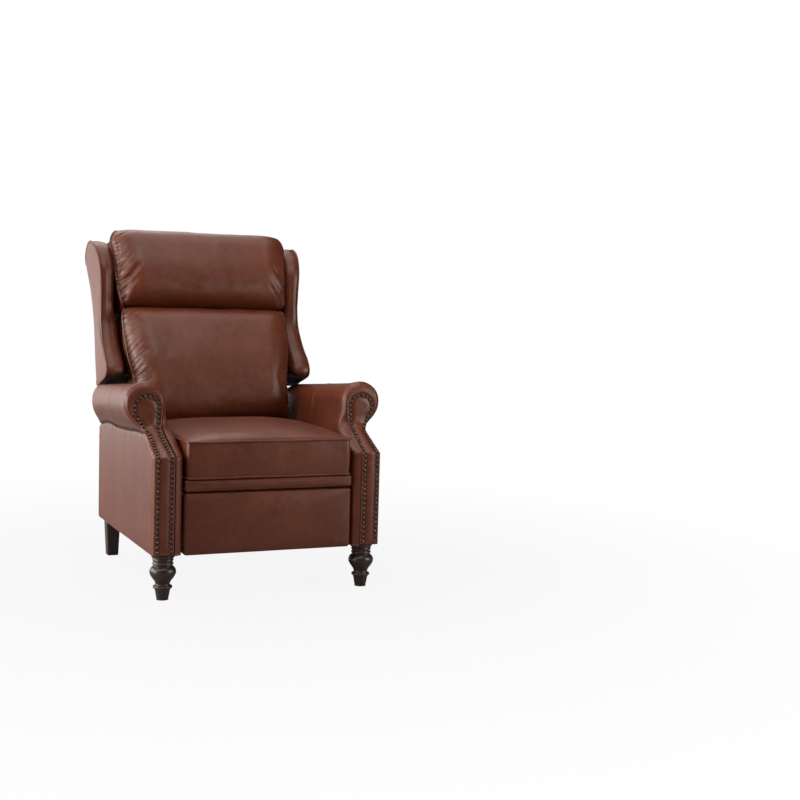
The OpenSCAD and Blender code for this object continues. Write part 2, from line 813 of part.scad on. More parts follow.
module seat_cushion() {
    color(leather)
        place()
            translate([0, seat_d / 2, 0])
                rotate([0, 0, 180])
                    cushion([seat_x, seat_d / 2], 1, seat_draw, boxed_corner_share, seat_low_z, seat_edge_z,
                        seat_crown, boxed_shares);
}

module seat_front_band() {
    color(leather)
        place()
            block([-seat_x, 0, band_low_z], [seat_x, band_t, seat_low_z - soft_gap]);
}

// The linkages of the footrest. The drive and guide links swing on the seat's side plates, the
// carrier and tie links stand on them and hold the panel. The torque tube turns with the guide links.
module drive_links() {
    color(steel)
        place()
            both_sides()
                union() {
                    difference() {
                        plate_at(drive_x, steel_t)
                            link_outline(drive_pivot, drive_tip);
                        bore(drive_x, drive_pivot, pin_clear);
                    }
                    pin_in(drive_x, carrier_x, drive_tip);
                }
}

module torque_tube() {
    color(steel)
        place()
            bar(-guide_x, 2 * guide_x, guide_pivot, torque_r);
}

module carrier_links() {
    color(steel)
        place()
            both_sides()
                union() {
                    difference() {
                        plate_at(carrier_x, steel_t)
                            union() {
                                link_outline(drive_tip, carrier_tip);
                                link_outline(cross_pivot, mix(drive_tip, carrier_tip, 0.4));
                            }
                        bore(carrier_x, drive_tip, pin_clear);
                    }
                    pin_in(carrier_x, guide_x, cross_pivot);
                    pin_in(carrier_x, guide_x, carrier_tip);
                }
}

module guide_links() {
    color(steel)
        place()
            both_sides()
                union() {
                    difference() {
                        plate_at(guide_x, steel_t)
                            union() {
                                link_outline(guide_pivot, guide_tip);
                                link_outline(mix(guide_pivot, guide_tip, 0.6), cross_pivot);
                                link_outline(guide_tip, cross_pivot);
                            }
                        bore(guide_x, guide_pivot, pin_clear);
                        bore(guide_x, cross_pivot, open_clear);
                    }
                    pin_in(guide_x, tie_x, guide_tip);
                }
}

module tie_links() {
    color(steel)
        place()
            both_sides()
                union() {
                    difference() {
                        plate_at(tie_x, steel_t)
                            link_outline(guide_tip, tie_tip);
                        bore(tie_x, guide_tip, pin_clear);
                    }
                    pin_out(tie_x, guide_x, tie_tip);
                }
}

foot_high_z = band_low_z - foot_gap;
foot_inset = 2 * cover_t;

module footrest_board() {
    color(raw_wood)
        place()
            block([-seat_x + foot_inset, foot_pad_t + soft_gap, foot_low_z + foot_inset / 2],
                [seat_x - foot_inset, foot_back_y, foot_high_z - foot_inset / 2]);
}

foot_shares = [
    [0.985, 0], [1, 0.2], [1, 0.85], [0.995, 1], [0.97, 1.35], [0.92, 1.6], [0.8, 1.8], [0.5, 1.95]
];
foot_draw = 0.006;

module footrest_pad() {
    color(leather)
        place()
            translate([0, foot_pad_t, (foot_low_z + foot_high_z) / 2])
                rotate([90, 0, 0])
                    cushion([seat_x, (foot_high_z - foot_low_z) / 2], 1, foot_draw, boxed_corner_share, 0,
                        foot_pad_t - foot_crown, foot_crown, foot_shares);
}

module footrest_brackets() {
    bracket_low_z = tie_tip[1] - 1.6 * link_r;
    bracket_high_z = carrier_tip[1] + 1.6 * link_r;
    color(steel)
        place()
            both_sides()
                union() {
                    difference() {
                        plate_at(guide_x, steel_t)
                            polygon([
                                [foot_back_y, bracket_low_z],
                                [tie_tip[0] + link_r, bracket_low_z + link_r / 2],
                                [carrier_tip[0] + link_r, bracket_high_z - link_r / 2],
                                [foot_back_y, bracket_high_z]
                            ]);
                        bore(guide_x, carrier_tip, pin_clear);
                        bore(guide_x, tie_tip, open_clear);
                    }
                    block([guide_x - 2 * link_r, foot_back_y, bracket_low_z],
                        [guide_x, foot_back_y + steel_t / 2, bracket_high_z]);
                }
}

// The back is modelled upright about the recline pivot, with Y forward, and leans by the rake.
// Inside this frame X is across, Y is the distance ahead of the pivot line, Z runs up the back.
module on_back() {
    place()
        translate([0, pivot_y, pivot_z])
            rotate([-rake, 0, 0])
                mirror([0, 1, 0])
                    children();
}

wood_v = -back_rear_v + cover_t + soft_gap;
wood_front_v = wood_v + back_wood_t;
upright_out_x = drive_x;
upright_w = 42;
upright_in_x = upright_out_x - upright_w;
upright_low_u = pivot_pad_r;
back_rail_h = 60;
// Heights of the back's cross rails, as shares of the back's height
back_rail_shares = [0.05, 0.56, 0.88];

module back_uprights() {
    color(raw_wood)
        on_back()
            both_sides()
                block([upright_in_x, wood_v, upright_low_u], [upright_out_x, wood_front_v, back_top_u - cover_t]);
}

module back_rails() {
    color(raw_wood)
        on_back()
            for (t = back_rail_shares)
                block([-upright_in_x, wood_v, t * back_top_u],
                    [upright_in_x, wood_front_v, t * back_top_u + back_rail_h]);
}

module back_side_boards() {
    color(raw_wood)
        on_back()
            both_sides()
                block([upright_out_x, wood_v, wing_low_u + 2 * link_r],
                    [wing_inner_x - soft_gap, wood_front_v, wing_top_u - 2 * link_r]);
}

module back_springs() {
    run_low = back_rail_shares[0] * back_top_u + back_rail_h / 2;
    run_high = back_rail_shares[2] * back_top_u + back_rail_h / 2;
    color(steel)
        on_back()
            for (t = back_spring_shares)
                translate([t * upright_in_x, wood_front_v + spring_t, run_low])
                    rotate([90, 0, 0])
                        zigzag(run_high - run_low, seat_x * spring_swing_share, 11);
}

module back_hinge_brackets() {
    color(steel)
        on_back()
            both_sides()
                difference() {
                    translate([drive_x, 0, 0])
                        rotate([90, 0, 90])
                            linear_extrude(steel_t) {
                                circle(pivot_pad_r);
                                translate([-pivot_pad_r, 0])
                                    square([2 * pivot_pad_r - link_r / 2, back_rail_h * 2.4]);
                            }
                    translate([drive_x - cut_over, 0, 0])
                        rotate([0, 90, 0])
                            cylinder(h = steel_t + 2 * cut_over, r = pin_r + pin_clear);
                }
}

spring_front_v = wood_front_v + spring_t + soft_gap;
lumbar_draw = 0.012;
head_draw = 0.02;

module pillow(half_x, low_u, high_u, taper, draw) {
    on_back()
        translate([0, 0, (low_u + high_u) / 2])
            rotate([-90, 0, 0])
                mirror([0, 1, 0])
                    cushion([half_x, (high_u - low_u) / 2], taper, draw, pillow_corner_share, spring_front_v,
                        piping_v, pillow_crown, pillow_shares);
}

module lumbar_pillow() {
    color(leather)
        pillow(lumbar_top_x, lumbar_low_u, crease_u - soft_gap, lumbar_low_x / lumbar_top_x, lumbar_draw);
}

module head_pillow() {
    color(leather)
        pillow(head_x, crease_u + soft_gap, head_top_u, 0.965, head_draw);
}

// The wing's outline from its foot up the front edge, over the top and down the rear edge. Each
// pair gives the height as a share of the wing's height and the distance ahead of the rear
// surface as a share of the whole depth to the upper lobe.
wing_front_shares = [
    [0.005, 0.30], [-0.005, 0.62], [-0.005, 0.85], [0.03, 0.93], [0.10, 0.89], [0.22, 0.73], [0.375, 0.64],
    [0.50, 0.71], [0.60, 0.84], [0.74, 0.99], [0.84, 0.97], [0.92, 0.86], [0.98, 0.66], [1, 0.45],
    [0.985, 0.22], [0.95, 0.06]
];
wing_rear_shares = [[0.88, 0], [0.66, 0], [0.44, 0], [0.22, 0], [0.04, 0]];
wing_outline_shares = concat(spline(wing_front_shares, 2), wing_rear_shares);
// Place across the wing from its inner to its outer face, with how full the outline is there
wing_layer_shares = [[0, 0.94], [0.06, 0.975], [0.16, 1], [0.5, 1.005], [0.84, 1], [0.94, 0.98], [1, 0.94]];

function wing_ring(t, full) =
    let (mid = [0.5, 0.4], depth = wing_lobe_v + back_rear_v, rise = wing_top_u - wing_low_u)
    [for (p = wing_outline_shares)
        let (q = [for (k = [0, 1]) p[k] == 0 && k == 1 ? 0 : mix(mid[k], p[k], full)])
        [
            mix(wing_inner_x, wing_outer_x + wing_flare * q[0], t),
            q[1] * depth - back_rear_v,
            wing_low_u + q[0] * rise
        ]];

module wing(s) {
    color(leather)
        on_back()
            on_side(s)
                loft([for (w = wing_layer_shares) wing_ring(w[0], w[1])]);
}

module outer_back_panel() {
    low_clear_u = 4.5 * link_r;
    color(leather)
        on_back()
            translate([0, -back_rear_v + cover_t, 0])
                rotate([90, 0, 0])
                    linear_extrude(cover_t)
                        polygon([
                            [-upright_out_x, upright_low_u], [upright_out_x, upright_low_u],
                            [upright_out_x, low_clear_u], [back_low_x, low_clear_u],
                            [back_low_x, wing_low_u + link_r], [wing_inner_x - soft_gap, wing_low_u + link_r],
                            [wing_inner_x - soft_gap, back_top_u], [-wing_inner_x + soft_gap, back_top_u],
                            [-wing_inner_x + soft_gap, wing_low_u + link_r], [-back_low_x, wing_low_u + link_r],
                            [-back_low_x, low_clear_u], [-upright_out_x, low_clear_u]
                        ]);
}

front_leg(-1);  // front_leg_left
front_leg(1);  // front_leg_right
rear_leg(-1);  // rear_leg_left
rear_leg(1);  // rear_leg_right
leg_bolts();
arm_front_post(-1);  // arm_front_post_left
arm_front_post(1);  // arm_front_post_right
arm_rear_post(-1);  // arm_rear_post_left
arm_rear_post(1);  // arm_rear_post_right
arm_top_board(-1);  // arm_top_board_left
arm_top_board(1);  // arm_top_board_right
arm_bottom_rail(-1);  // arm_bottom_rail_left
arm_bottom_rail(1);  // arm_bottom_rail_right
rear_bottom_rail();
rear_top_rail();
cross_stretcher();
rear_cover();
outer_side_cover(-1);  // outer_side_cover_left
outer_side_cover(1);  // outer_side_cover_right
inner_arm_cover(-1);  // inner_arm_cover_left
inner_arm_cover(1);  // inner_arm_cover_right
arm_roll(-1);  // arm_roll_left
arm_roll(1);  // arm_roll_right
arm_facing(-1);  // arm_facing_left
arm_facing(1);  // arm_facing_right
nail_trim(-1);  // nail_trim_left
nail_trim(1);  // nail_trim_right
base_bracket(-1);  // base_bracket_left
base_bracket(1);  // base_bracket_right
swing_links(front_swing_low, front_swing_top);  // front_swing_links
swing_links(rear_swing_low, rear_swing_top);  // rear_swing_links
seat_side_plate(-1);  // seat_side_plate_left
seat_side_plate(1);  // seat_side_plate_right
seat_front_rail();
seat_rear_rail();
seat_side_rails();
seat_springs();
seat_cushion();
seat_front_band();
drive_links();
torque_tube();
carrier_links();
guide_links();
tie_links();
footrest_board();
footrest_pad();
footrest_brackets();
back_uprights();
back_rails();
back_side_boards();
back_springs();
back_hinge_brackets();
lumbar_pillow();
head_pillow();
wing(-1);  // wing_left
wing(1);  // wing_right
outer_back_panel();
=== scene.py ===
# Wingback recliner: every visible piece, its finish, the studio and the camera.
# Chair measures are millimetres: X across, Y back from the front panel, Z up from the floor.
# Back measures are X across, U up the back from the recline pivot, V forward of the pivot line.

import math

import bpy
import numpy as np
from mathutils import Matrix, Vector, kdtree, noise


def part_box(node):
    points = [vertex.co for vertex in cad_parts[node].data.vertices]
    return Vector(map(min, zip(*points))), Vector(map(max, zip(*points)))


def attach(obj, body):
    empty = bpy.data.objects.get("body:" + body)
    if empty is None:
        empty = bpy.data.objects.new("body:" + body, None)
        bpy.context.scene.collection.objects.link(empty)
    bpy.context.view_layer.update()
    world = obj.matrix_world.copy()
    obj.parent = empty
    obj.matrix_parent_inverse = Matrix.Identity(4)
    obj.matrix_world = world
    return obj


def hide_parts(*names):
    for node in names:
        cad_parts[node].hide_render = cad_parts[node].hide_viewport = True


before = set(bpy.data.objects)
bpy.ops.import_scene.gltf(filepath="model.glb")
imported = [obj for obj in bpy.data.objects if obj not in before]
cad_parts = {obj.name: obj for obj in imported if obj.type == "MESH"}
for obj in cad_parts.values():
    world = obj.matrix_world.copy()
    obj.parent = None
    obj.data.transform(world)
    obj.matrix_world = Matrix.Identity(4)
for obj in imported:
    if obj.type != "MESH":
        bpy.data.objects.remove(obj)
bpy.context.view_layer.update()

MM = 0.001
RNG_SEED = 7

# Driving dimensions, the same as the frame's
FRONT_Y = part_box("seat_front_band")[0].y
ARM_OUT, ARM_IN, ARM_L = 340.0, 255.0, 697.0
ROLL_OUT, ROLL_NARROW = 388.0, 23.0
PANEL_TOP, LEG_H = 404.0, 128.0
SCROLL_Y, FACING_T, CREASE_X = 132.0, 14.0, 278.0
CREST_FRONT, CREST_REAR = 600.0, 555.0
SEAM_FRONT, SEAM_REAR = 458.0, 430.0
COVER_T = 7.0
SEAT_X, SEAT_D = 249.0, 505.0
SEAT_LOW, SEAT_EDGE, SEAT_CROWN = 339.0, 444.0, 36.0
BAND_LOW, BAND_T = 304.0, 14.0
RAKE = math.radians(22)
PIVOT_Y, PIVOT_Z = 620.0, 330.0
BACK_TOP, BACK_REAR_V = 704.0, 27.0
PIPING_V, PILLOW_CROWN = 118.0, 66.0
LUMBAR_TOP_X, LUMBAR_LOW_U, CREASE_U = 277.0, 72.0, 471.0
HEAD_X, HEAD_TOP_U = 284.0, 736.0
WING_IN, WING_OUT, WING_FLARE = 288.0, 341.0, 10.0
WING_LOW, WING_TOP, WING_LOBE = 240.0, 712.0, 134.0
FOOT_LOW, FOOT_GAP, FOOT_T = 125.0, 3.0, 44.0
SIDES = (("left", -1), ("right", 1))


def chair(points):
    """Chair measures in millimetres as places in the frame, in metres."""
    out = np.array(points, float) * MM
    out[..., 1] += FRONT_Y
    return out


def back(points):
    """Back measures (x, u, v) in millimetres as places in the frame, in metres."""
    p = np.array(points, float)
    x, u, v = p[..., 0], p[..., 1], p[..., 2]
    y = PIVOT_Y + u * math.sin(RAKE) - v * math.cos(RAKE)
    z = PIVOT_Z + u * math.cos(RAKE) + v * math.sin(RAKE)
    return chair(np.stack([x, y, z], -1))


def mix(a, b, t):
    return a + (b - a) * t


def smooth(t):
    t = np.clip(t, 0, 1)
    return t * t * (3 - 2 * t)


def along_arm(y):
    """The share of the way from the scroll to the arm's rear end at distance y back."""
    return (y - SCROLL_Y) / (ARM_L - SCROLL_Y)


def seam_z(y):
    return mix(SEAM_FRONT, SEAM_REAR, along_arm(y))


def crest_z(y):
    return mix(CREST_FRONT, CREST_REAR, along_arm(y))


def hill(x, middle, width):
    """A bell curve of height 1."""
    return np.exp(-(((x - middle) / width) ** 2))


def seam_wave(y):
    """How far the stretched leather pulls the seam under the roll off its straight line."""
    return 9.0 * hill(y, 560, 85.0) - 5.0 * smooth((y - 630) / 67.0) + 2.0 * hill(y, 215, 50.0)


def run_along(line):
    """Distance from a line's first point to each of its points."""
    return np.concatenate([[0], np.cumsum(np.linalg.norm(np.diff(line, axis=0), axis=1))])


def even_steps(line, count, closed=False, measured=None):
    """Points at even distances along a line, measured on its first few columns, or on all of them."""
    run = run_along(line[:, :measured])
    at = np.linspace(0, run[-1], count, endpoint=not closed)
    return np.stack([np.interp(at, run, line[:, k]) for k in range(line.shape[1])], -1)


def curve_through(points, count, closed=False):
    """A smooth line through points, cut into equally long steps."""
    p = np.array(points, float)
    if closed:
        p = np.vstack([p[-1], p, p[:2]])
    else:
        p = np.vstack([2 * p[0] - p[1], p, 2 * p[-1] - p[-2]])
    t = np.linspace(0, 1, 16, endpoint=False)[:, None]
    line = []
    for a, b, c, d in zip(p[:-3], p[1:-2], p[2:-1], p[3:]):
        bend, twist = 2 * a - 5 * b + 4 * c - d, 3 * b - a - 3 * c + d
        line.append(0.5 * (2 * b + (c - a) * t + bend * t**2 + twist * t**3))
    return even_steps(np.vstack(line + [p[-2][None]]), count, closed)


def rand(seed, count, low=0.0, high=1.0):
    return np.random.default_rng(RNG_SEED + seed).uniform(low, high, count)


def soft_noise(points, scale, seed):
    """Smooth noise at points in millimetres, about -1 to 1."""
    flat = np.asarray(points, float).reshape(-1, 3) * scale + [seed, 0, 0]
    return np.array([noise.noise(Vector(p)) for p in flat]).reshape(np.shape(points)[:-1])


def unit(vectors):
    """Vectors scaled to length 1."""
    return vectors / np.maximum(np.linalg.norm(vectors, axis=-1), 1e-9)[..., None]


def quarter_round(depth, radius):
    """How far a rounded edge lies back at each depth in from its rim."""
    return np.where(depth < radius, radius - np.sqrt(np.maximum(radius**2 - (radius - depth) ** 2, 0)), 0)


def arc(count, first=0, last=90):
    """Evenly spaced angles in radians, from degrees."""
    return np.radians(np.linspace(first, last, count))


# Mesh helpers


def link(data, name):
    """A new object in the scene that shows a mesh, a lamp or a camera."""
    piece = bpy.data.objects.new(name, data)
    bpy.context.scene.collection.objects.link(piece)
    return piece


def mesh_piece(name, verts, faces, material, attributes=()):
    """A smooth shaded mesh whose faces all point outwards."""
    mesh = bpy.data.meshes.new(name)
    mesh.from_pydata([tuple(v) for v in verts], [], [tuple(f) for f in faces])
    for key, values in attributes:
        mesh.attributes.new(key, "FLOAT", "POINT").data.foreach_set("value", np.asarray(values, np.float32))
    mesh.materials.append(material)
    mesh.shade_smooth()
    return link(mesh, name)


def grid_faces(rows, cols, wrap_rows=False, wrap_cols=False, flip=False):
    faces = []
    for i in range(rows if wrap_rows else rows - 1):
        for j in range(cols if wrap_cols else cols - 1):
            i2, j2 = (i + 1) % rows, (j + 1) % cols
            quad = (i * cols + j, i * cols + j2, i2 * cols + j2, i2 * cols + j)
            faces.append(quad[::-1] if flip else quad)
    return faces


def volume(verts, faces):
    """Signed volume of a closed mesh, to tell which way its faces point."""
    total = 0.0
    v = np.asarray(verts)
    for f in faces:
        for k in range(1, len(f) - 1):
            total += float(np.dot(v[f[0]], np.cross(v[f[k]], v[f[k + 1]])))
    return total


def closed_piece(name, verts, faces, material, attributes=()):
    if volume(verts, faces) < 0:
        faces = [f[::-1] for f in faces]
    return mesh_piece(name, verts, faces, material, attributes)


def loft_piece(name, rings, material, attributes=(), cap_rings=5):
    """A closed solid through rings of equally many points, with caps over the first and last ring."""
    rings = np.asarray(rings, float)
    rows, cols = rings.shape[:2]
    verts = list(rings.reshape(-1, 3))
    faces = grid_faces(rows, cols, wrap_cols=True)
    for edge, order in ((0, 1), (rows - 1, -1)):
        centre = rings[edge].mean(0)
        before = [edge * cols + j for j in range(cols)]
        for step in range(1, cap_rings):
            now = [len(verts) + j for j in range(cols)]
            verts += list(mix(rings[edge], centre, step / cap_rings))
            for j in range(cols):
                j2 = (j + 1) % cols
                quad = (before[j], now[j], now[j2], before[j2])
                faces.append(quad if order == 1 else quad[::-1])
            before = now
        verts.append(centre)
        for j in range(cols):
            tri = (before[j], len(verts) - 1, before[(j + 1) % cols])
            faces.append(tri if order == 1 else tri[::-1])
    values = [(key, list(v) + [0.0] * (len(verts) - len(v))) for key, v in attributes]
    return closed_piece(name, verts, faces, material, values)


def frames_along(path, closed):
    """Tangent and two normals at each point of a path, with as little twist as can be."""
    p = np.asarray(path, float)
    if closed:
        tangent = np.roll(p, -1, 0) - np.roll(p, 1, 0)
    else:
        tangent = np.gradient(p, axis=0)
    tangent /= np.linalg.norm(tangent, axis=1)[:, None]
    first = np.cross(tangent[0], (0.31, 0.17, 0.93))
    normals = [first / np.linalg.norm(first)]
    for t in tangent[1:]:
        n = normals[-1] - t * np.dot(normals[-1], t)
        normals.append(n / np.linalg.norm(n))
    n = np.array(normals)
    if closed:
        end = n[-1] - tangent[0] * np.dot(n[-1], tangent[0])
        twist = math.atan2(np.dot(np.cross(end, n[0]), tangent[0]), np.dot(end, n[0]))
        turn = np.linspace(0, twist, len(p), endpoint=False)[:, None]
        n = n * np.cos(turn) + np.cross(tangent, n) * np.sin(turn)
    return tangent, n, np.cross(tangent, n)


def tube_piece(name, path, radius, material, closed=False, sides=8):
    """A round tube of some radius, in metres, along a path in the frame."""
    path = np.asarray(path, float)
    _, n, b = frames_along(path, closed)
    a = np.linspace(0, 2 * math.pi, sides, endpoint=False)
    ring = np.cos(a)[None, :, None] * n[:, None] + np.sin(a)[None, :, None] * b[:, None]
    rings = path[:, None] + radius * ring
    if not closed:
        return loft_piece(name, rings, material, cap_rings=2)
    return closed_piece(name, rings.reshape(-1, 3), grid_faces(len(rings), sides, True, True), material)


def skin_piece(name, outer, material, thick, attributes=()):
    """A padded cover: a grid of points for its outer face, and an inner face some way behind it."""
    outer = np.asarray(outer, float)
    rows, cols = outer.shape[:2]
    normal = unit(np.cross(np.gradient(outer, axis=0), np.gradient(outer, axis=1)))
    verts = np.vstack([outer.reshape(-1, 3), (outer - normal * thick).reshape(-1, 3)])
    front = grid_faces(rows, cols)
    count = rows * cols
    faces = [f[::-1] for f in front] + [tuple(i + count for i in f) for f in front]
    rim = [i * cols for i in range(rows)] + [(rows - 1) * cols + j for j in range(1, cols)]
    rim += [i * cols + cols - 1 for i in range(rows - 2, -1, -1)] + list(range(cols - 2, 0, -1))
    for a, b in zip(rim, rim[1:] + rim[:1]):
        faces.append((a, b, b + count, a + count))
    values = [(key, list(v) * 2) for key, v in attributes]
    return closed_piece(name, verts, faces, material, values)


def bake_modifiers(piece):
    """Replaces a piece's mesh by what its modifiers make of it."""
    evaluated = piece.evaluated_get(bpy.context.evaluated_depsgraph_get())
    mesh = bpy.data.meshes.new_from_object(evaluated)
    piece.modifiers.clear()
    old = piece.data
    piece.data = mesh
    bpy.data.meshes.remove(old)
    return piece


# The cloth of the pillow covers, and how much of its movement is carried over
CLOTH_CELL, CLOTH_FRAMES = 0.008, 20
COVER_CLOTH = {
    "quality": 4, "mass": 0.4, "tension_stiffness": 60.0, "compression_stiffness": 60.0,
    "shear_stiffness": 30.0, "bending_stiffness": 2.0, "use_pressure": True, "uniform_pressure_force": 4.0,
}
NEAREST, SPREAD = 14, 0.006
SETTLE_MOST = 5.0 * MM


def corners_of(mesh):
    out = np.empty(len(mesh.vertices) * 3)
    mesh.vertices.foreach_get("co", out)
    return out.reshape(-1, 3)


def settle(piece):
    """Lets a pillow's cover settle on its filling.

    A coarse copy is blown up as cloth, and its movement is carried over to the piece where its "loose"
    attribute allows it.
    """
    scene = bpy.context.scene
    copy = link(piece.data.copy(), piece.name + "_cloth")
    even = copy.modifiers.new("even", "REMESH")
    even.mode = "VOXEL"
    even.voxel_size = CLOTH_CELL
    bake_modifiers(copy)
    start = corners_of(copy.data)
    cover = copy.modifiers.new("cover", "CLOTH")
    for key, value in COVER_CLOTH.items():
        setattr(cover.settings, key, value)
    cover.settings.effector_weights.gravity = 0.0
    cover.point_cache.frame_start = 1
    cover.point_cache.frame_end = CLOTH_FRAMES
    for at in range(1, CLOTH_FRAMES + 1):
        scene.frame_set(at)
    shift = corners_of(copy.evaluated_get(bpy.context.evaluated_depsgraph_get()).data) - start
    shift -= shift.mean(0)
    tree = kdtree.KDTree(len(start))
    for k, at in enumerate(start):
        tree.insert(at, k)
    tree.balance()
    places = corners_of(piece.data)
    carried = np.empty_like(places)
    for k, at in enumerate(places):
        found = tree.find_n(at, NEAREST)
        weights = np.array([1.0 / (distance + SPREAD) for _, _, distance in found])
        carried[k] = weights @ shift[[index for _, index, _ in found]] / weights.sum()
    length = np.linalg.norm(carried, axis=1)
    carried *= (SETTLE_MOST * np.tanh(length / SETTLE_MOST) / np.maximum(length, 1e-9))[:, None]
    loose = np.ones(len(places), np.float32)
    piece.data.attributes["loose"].data.foreach_get("value", loose)
    piece.data.vertices.foreach_set("co", (places + carried * loose[:, None]).ravel())
    piece.data.update()
    bpy.data.objects.remove(copy)
    scene.frame_set(1)


def place(piece, body, slot, *nodes):
    """Puts a finished piece on its body and hides the plain nodes that it stands for; its slot is not used.
    """
    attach(piece, body)
    if nodes:
        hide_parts(*nodes)
    return piece


# Finishes


def add_node(tree, kind, links=(), **settings):
    """A shader node: settings that are sockets are filled in, the others are the node's own."""
    made = tree.nodes.new(kind)
    for key, value in settings.items():
        if hasattr(made, key):
            setattr(made, key, value)
    for key, value in settings.items():
        if not hasattr(made, key):
            made.inputs[key.replace("_", " ")].default_value = value
    for source, target in links:
        tree.links.new(source, made.inputs[target])
    return made


def start_material(name):
    made = bpy.data.materials.new(name)
    made.use_nodes = True
    tree = made.node_tree
    shader = tree.nodes["Principled BSDF"]
    coords = tree.nodes.new("ShaderNodeTexCoord")
    return made, tree, shader, coords.outputs["Object"]


def ramp(tree, source, stops):
    made = tree.nodes.new("ShaderNodeValToRGB")
    tree.links.new(source, made.inputs["Fac"])
    elements = made.color_ramp.elements
    while len(elements) < len(stops):
        elements.new(0.5)
    for element, (at, colour) in zip(elements, stops):
        element.position = at
        element.color = (*colour, 1) if len(colour) == 3 else colour
    return made.outputs["Color"]


def grey(value):
    return (value, value, value)


def blend_colour(tree, factor, first, second, how="MIX"):
    made = tree.nodes.new("ShaderNodeMix")
    made.data_type = "RGBA"
    made.blend_type = how
    for socket, value in ((0, factor), (6, first), (7, second)):
        if hasattr(value, "links"):
            tree.links.new(value, made.inputs[socket])
        else:
            made.inputs[socket].default_value = value if socket == 0 else (*value, 1)
    return made.outputs[2]


def scaled(tree, coords, scale, detail=3.0, rough=0.5, distort=0.0):
    made = add_node(
        tree, "ShaderNodeTexNoise", [(coords, "Vector")],
        Scale=scale, Detail=detail, Roughness=rough, Distortion=distort,
    )
    return made.outputs["Fac"]


def sum_of(tree, terms):
    """The sum of (socket, weight) pairs, as one height or roughness."""
    total = None
    for source, weight in terms:
        node = add_node(tree, "ShaderNodeMath", [(source, 0)], operation="MULTIPLY")
        node.inputs[1].default_value = weight
        part = node.outputs[0]
        if total is not None:
            part = add_node(tree, "ShaderNodeMath", [(total, 0), (part, 1)], operation="ADD").outputs[0]
        total = part
    return total


def attribute(tree, name):
    return add_node(tree, "ShaderNodeAttribute", attribute_name=name).outputs["Fac"]


def set_surface(tree, shader, colour, rough, start, height, distance, strength, **fixed):
    """Colour, roughness round a start value, and bump of a finish, with the values that stay fixed."""
    tree.links.new(colour, shader.inputs["Base Color"])
    total = add_node(tree, "ShaderNodeMath", [(sum_of(tree, rough), 0)], operation="ADD")
    total.inputs[1].default_value = start
    tree.links.new(total.outputs[0], shader.inputs["Roughness"])
    relief = [(sum_of(tree, height), "Height")]
    made = add_node(tree, "ShaderNodeBump", relief, Distance=distance, Strength=strength)
    tree.links.new(made.outputs["Normal"], shader.inputs["Normal"])
    for key, value in fixed.items():
        shader.inputs[key.replace("_", " ")].default_value = value


def paler_tone(colour, gain, lift=0.0):
    """The paler colour of worn spots, which on the leather also paints highlights."""
    return tuple(min(1.0, gain * c + lift) for c in colour)


def leather(name, deep, tone, pale, gloss, grain=1.0):
    """Aniline leather: cloudy colour, pebbled grain, paler where worn and with painted highlights along rims,
    darker with painted shade in creases and grooves and with dirt in the nail rows.
    """
    made, tree, shader, coords = start_material(name)
    cloud = scaled(tree, coords, 7.0, 4.0, 0.6)
    fine = scaled(tree, coords, 60.0, 5.0, 0.6)
    voronoi = add_node(tree, "ShaderNodeTexVoronoi", [(coords, "Vector")], Scale=620.0, feature="F1")
    pebbles = voronoi.outputs["Distance"]
    warp = scaled(tree, coords, 1500.0, 3.0)
    fold = attribute(tree, "fold")
    body = ramp(tree, cloud, [(0.3, deep), (0.52, tone), (0.75, pale)])
    speck = ramp(tree, fine, [(0.35, grey(0.86)), (0.65, grey(1.08))])
    body = blend_colour(tree, 1.0, body, speck, "MULTIPLY")
    pores = ramp(tree, pebbles, [(0.1, grey(1.05)), (0.75, grey(0.86))])
    body = blend_colour(tree, 0.6, body, pores, "MULTIPLY")
    # Paler where the leather is worn, and painted highlights along the arms' rims
    body = blend_colour(tree, attribute(tree, "wear"), body, paler_tone(pale, 1.75, 0.03))
    # Darker with painted shade in creases, grooves and behind the pillows, with the cross seam drawn dark and
    # dirt in the nail rows
    body = blend_colour(tree, fold, body, tuple(0.12 * c for c in deep))
    rough = [(cloud, 0.16), (pebbles, 0.1), (fine, 0.08), (fold, 0.55)]
    height = [(pebbles, -0.6 * grain), (warp, 0.2 * grain), (fine, 1.2), (cloud, 1.0)]
    set_surface(
        tree, shader, body, rough, gloss - 0.16, height, 0.0005, 0.55,
        IOR=1.5, Specular_Tint=(1.0, 0.90, 0.84, 1.0), Coat_Weight=0.06, Coat_Roughness=0.3,
    )
    return made


def wood(name, deep, tone, pale, gloss, across=(90.0, 90.0, 6.0), coat=0.0):
    """Timber whose grain runs along the axis with the smallest scale."""
    made, tree, shader, coords = start_material(name)
    stretched = add_node(tree, "ShaderNodeMapping", [(coords, "Vector")], Scale=across).outputs["Vector"]
    rings = scaled(tree, stretched, 1.0, 5.0, 0.6, 1.2)
    pores = scaled(tree, stretched, 7.0, 3.0, 0.7)
    mottle = scaled(tree, coords, 14.0, 3.0)
    body = ramp(tree, rings, [(0.3, deep), (0.5, tone), (0.72, pale)])
    lines = ramp(tree, pores, [(0.4, grey(0.72)), (0.6, grey(1.05))])
    body = blend_colour(tree, 0.8, body, lines, "MULTIPLY")
    body = blend_colour(tree, attribute(tree, "wear"), body, paler_tone(pale, 2.2))
    set_surface(
        tree, shader, body, [(mottle, 0.2), (pores, 0.16)], gloss - 0.18, [(pores, 0.5), (rings, 0.5)],
        0.0004, 0.5, Coat_Weight=coat, Coat_Roughness=0.22,
    )
    return made


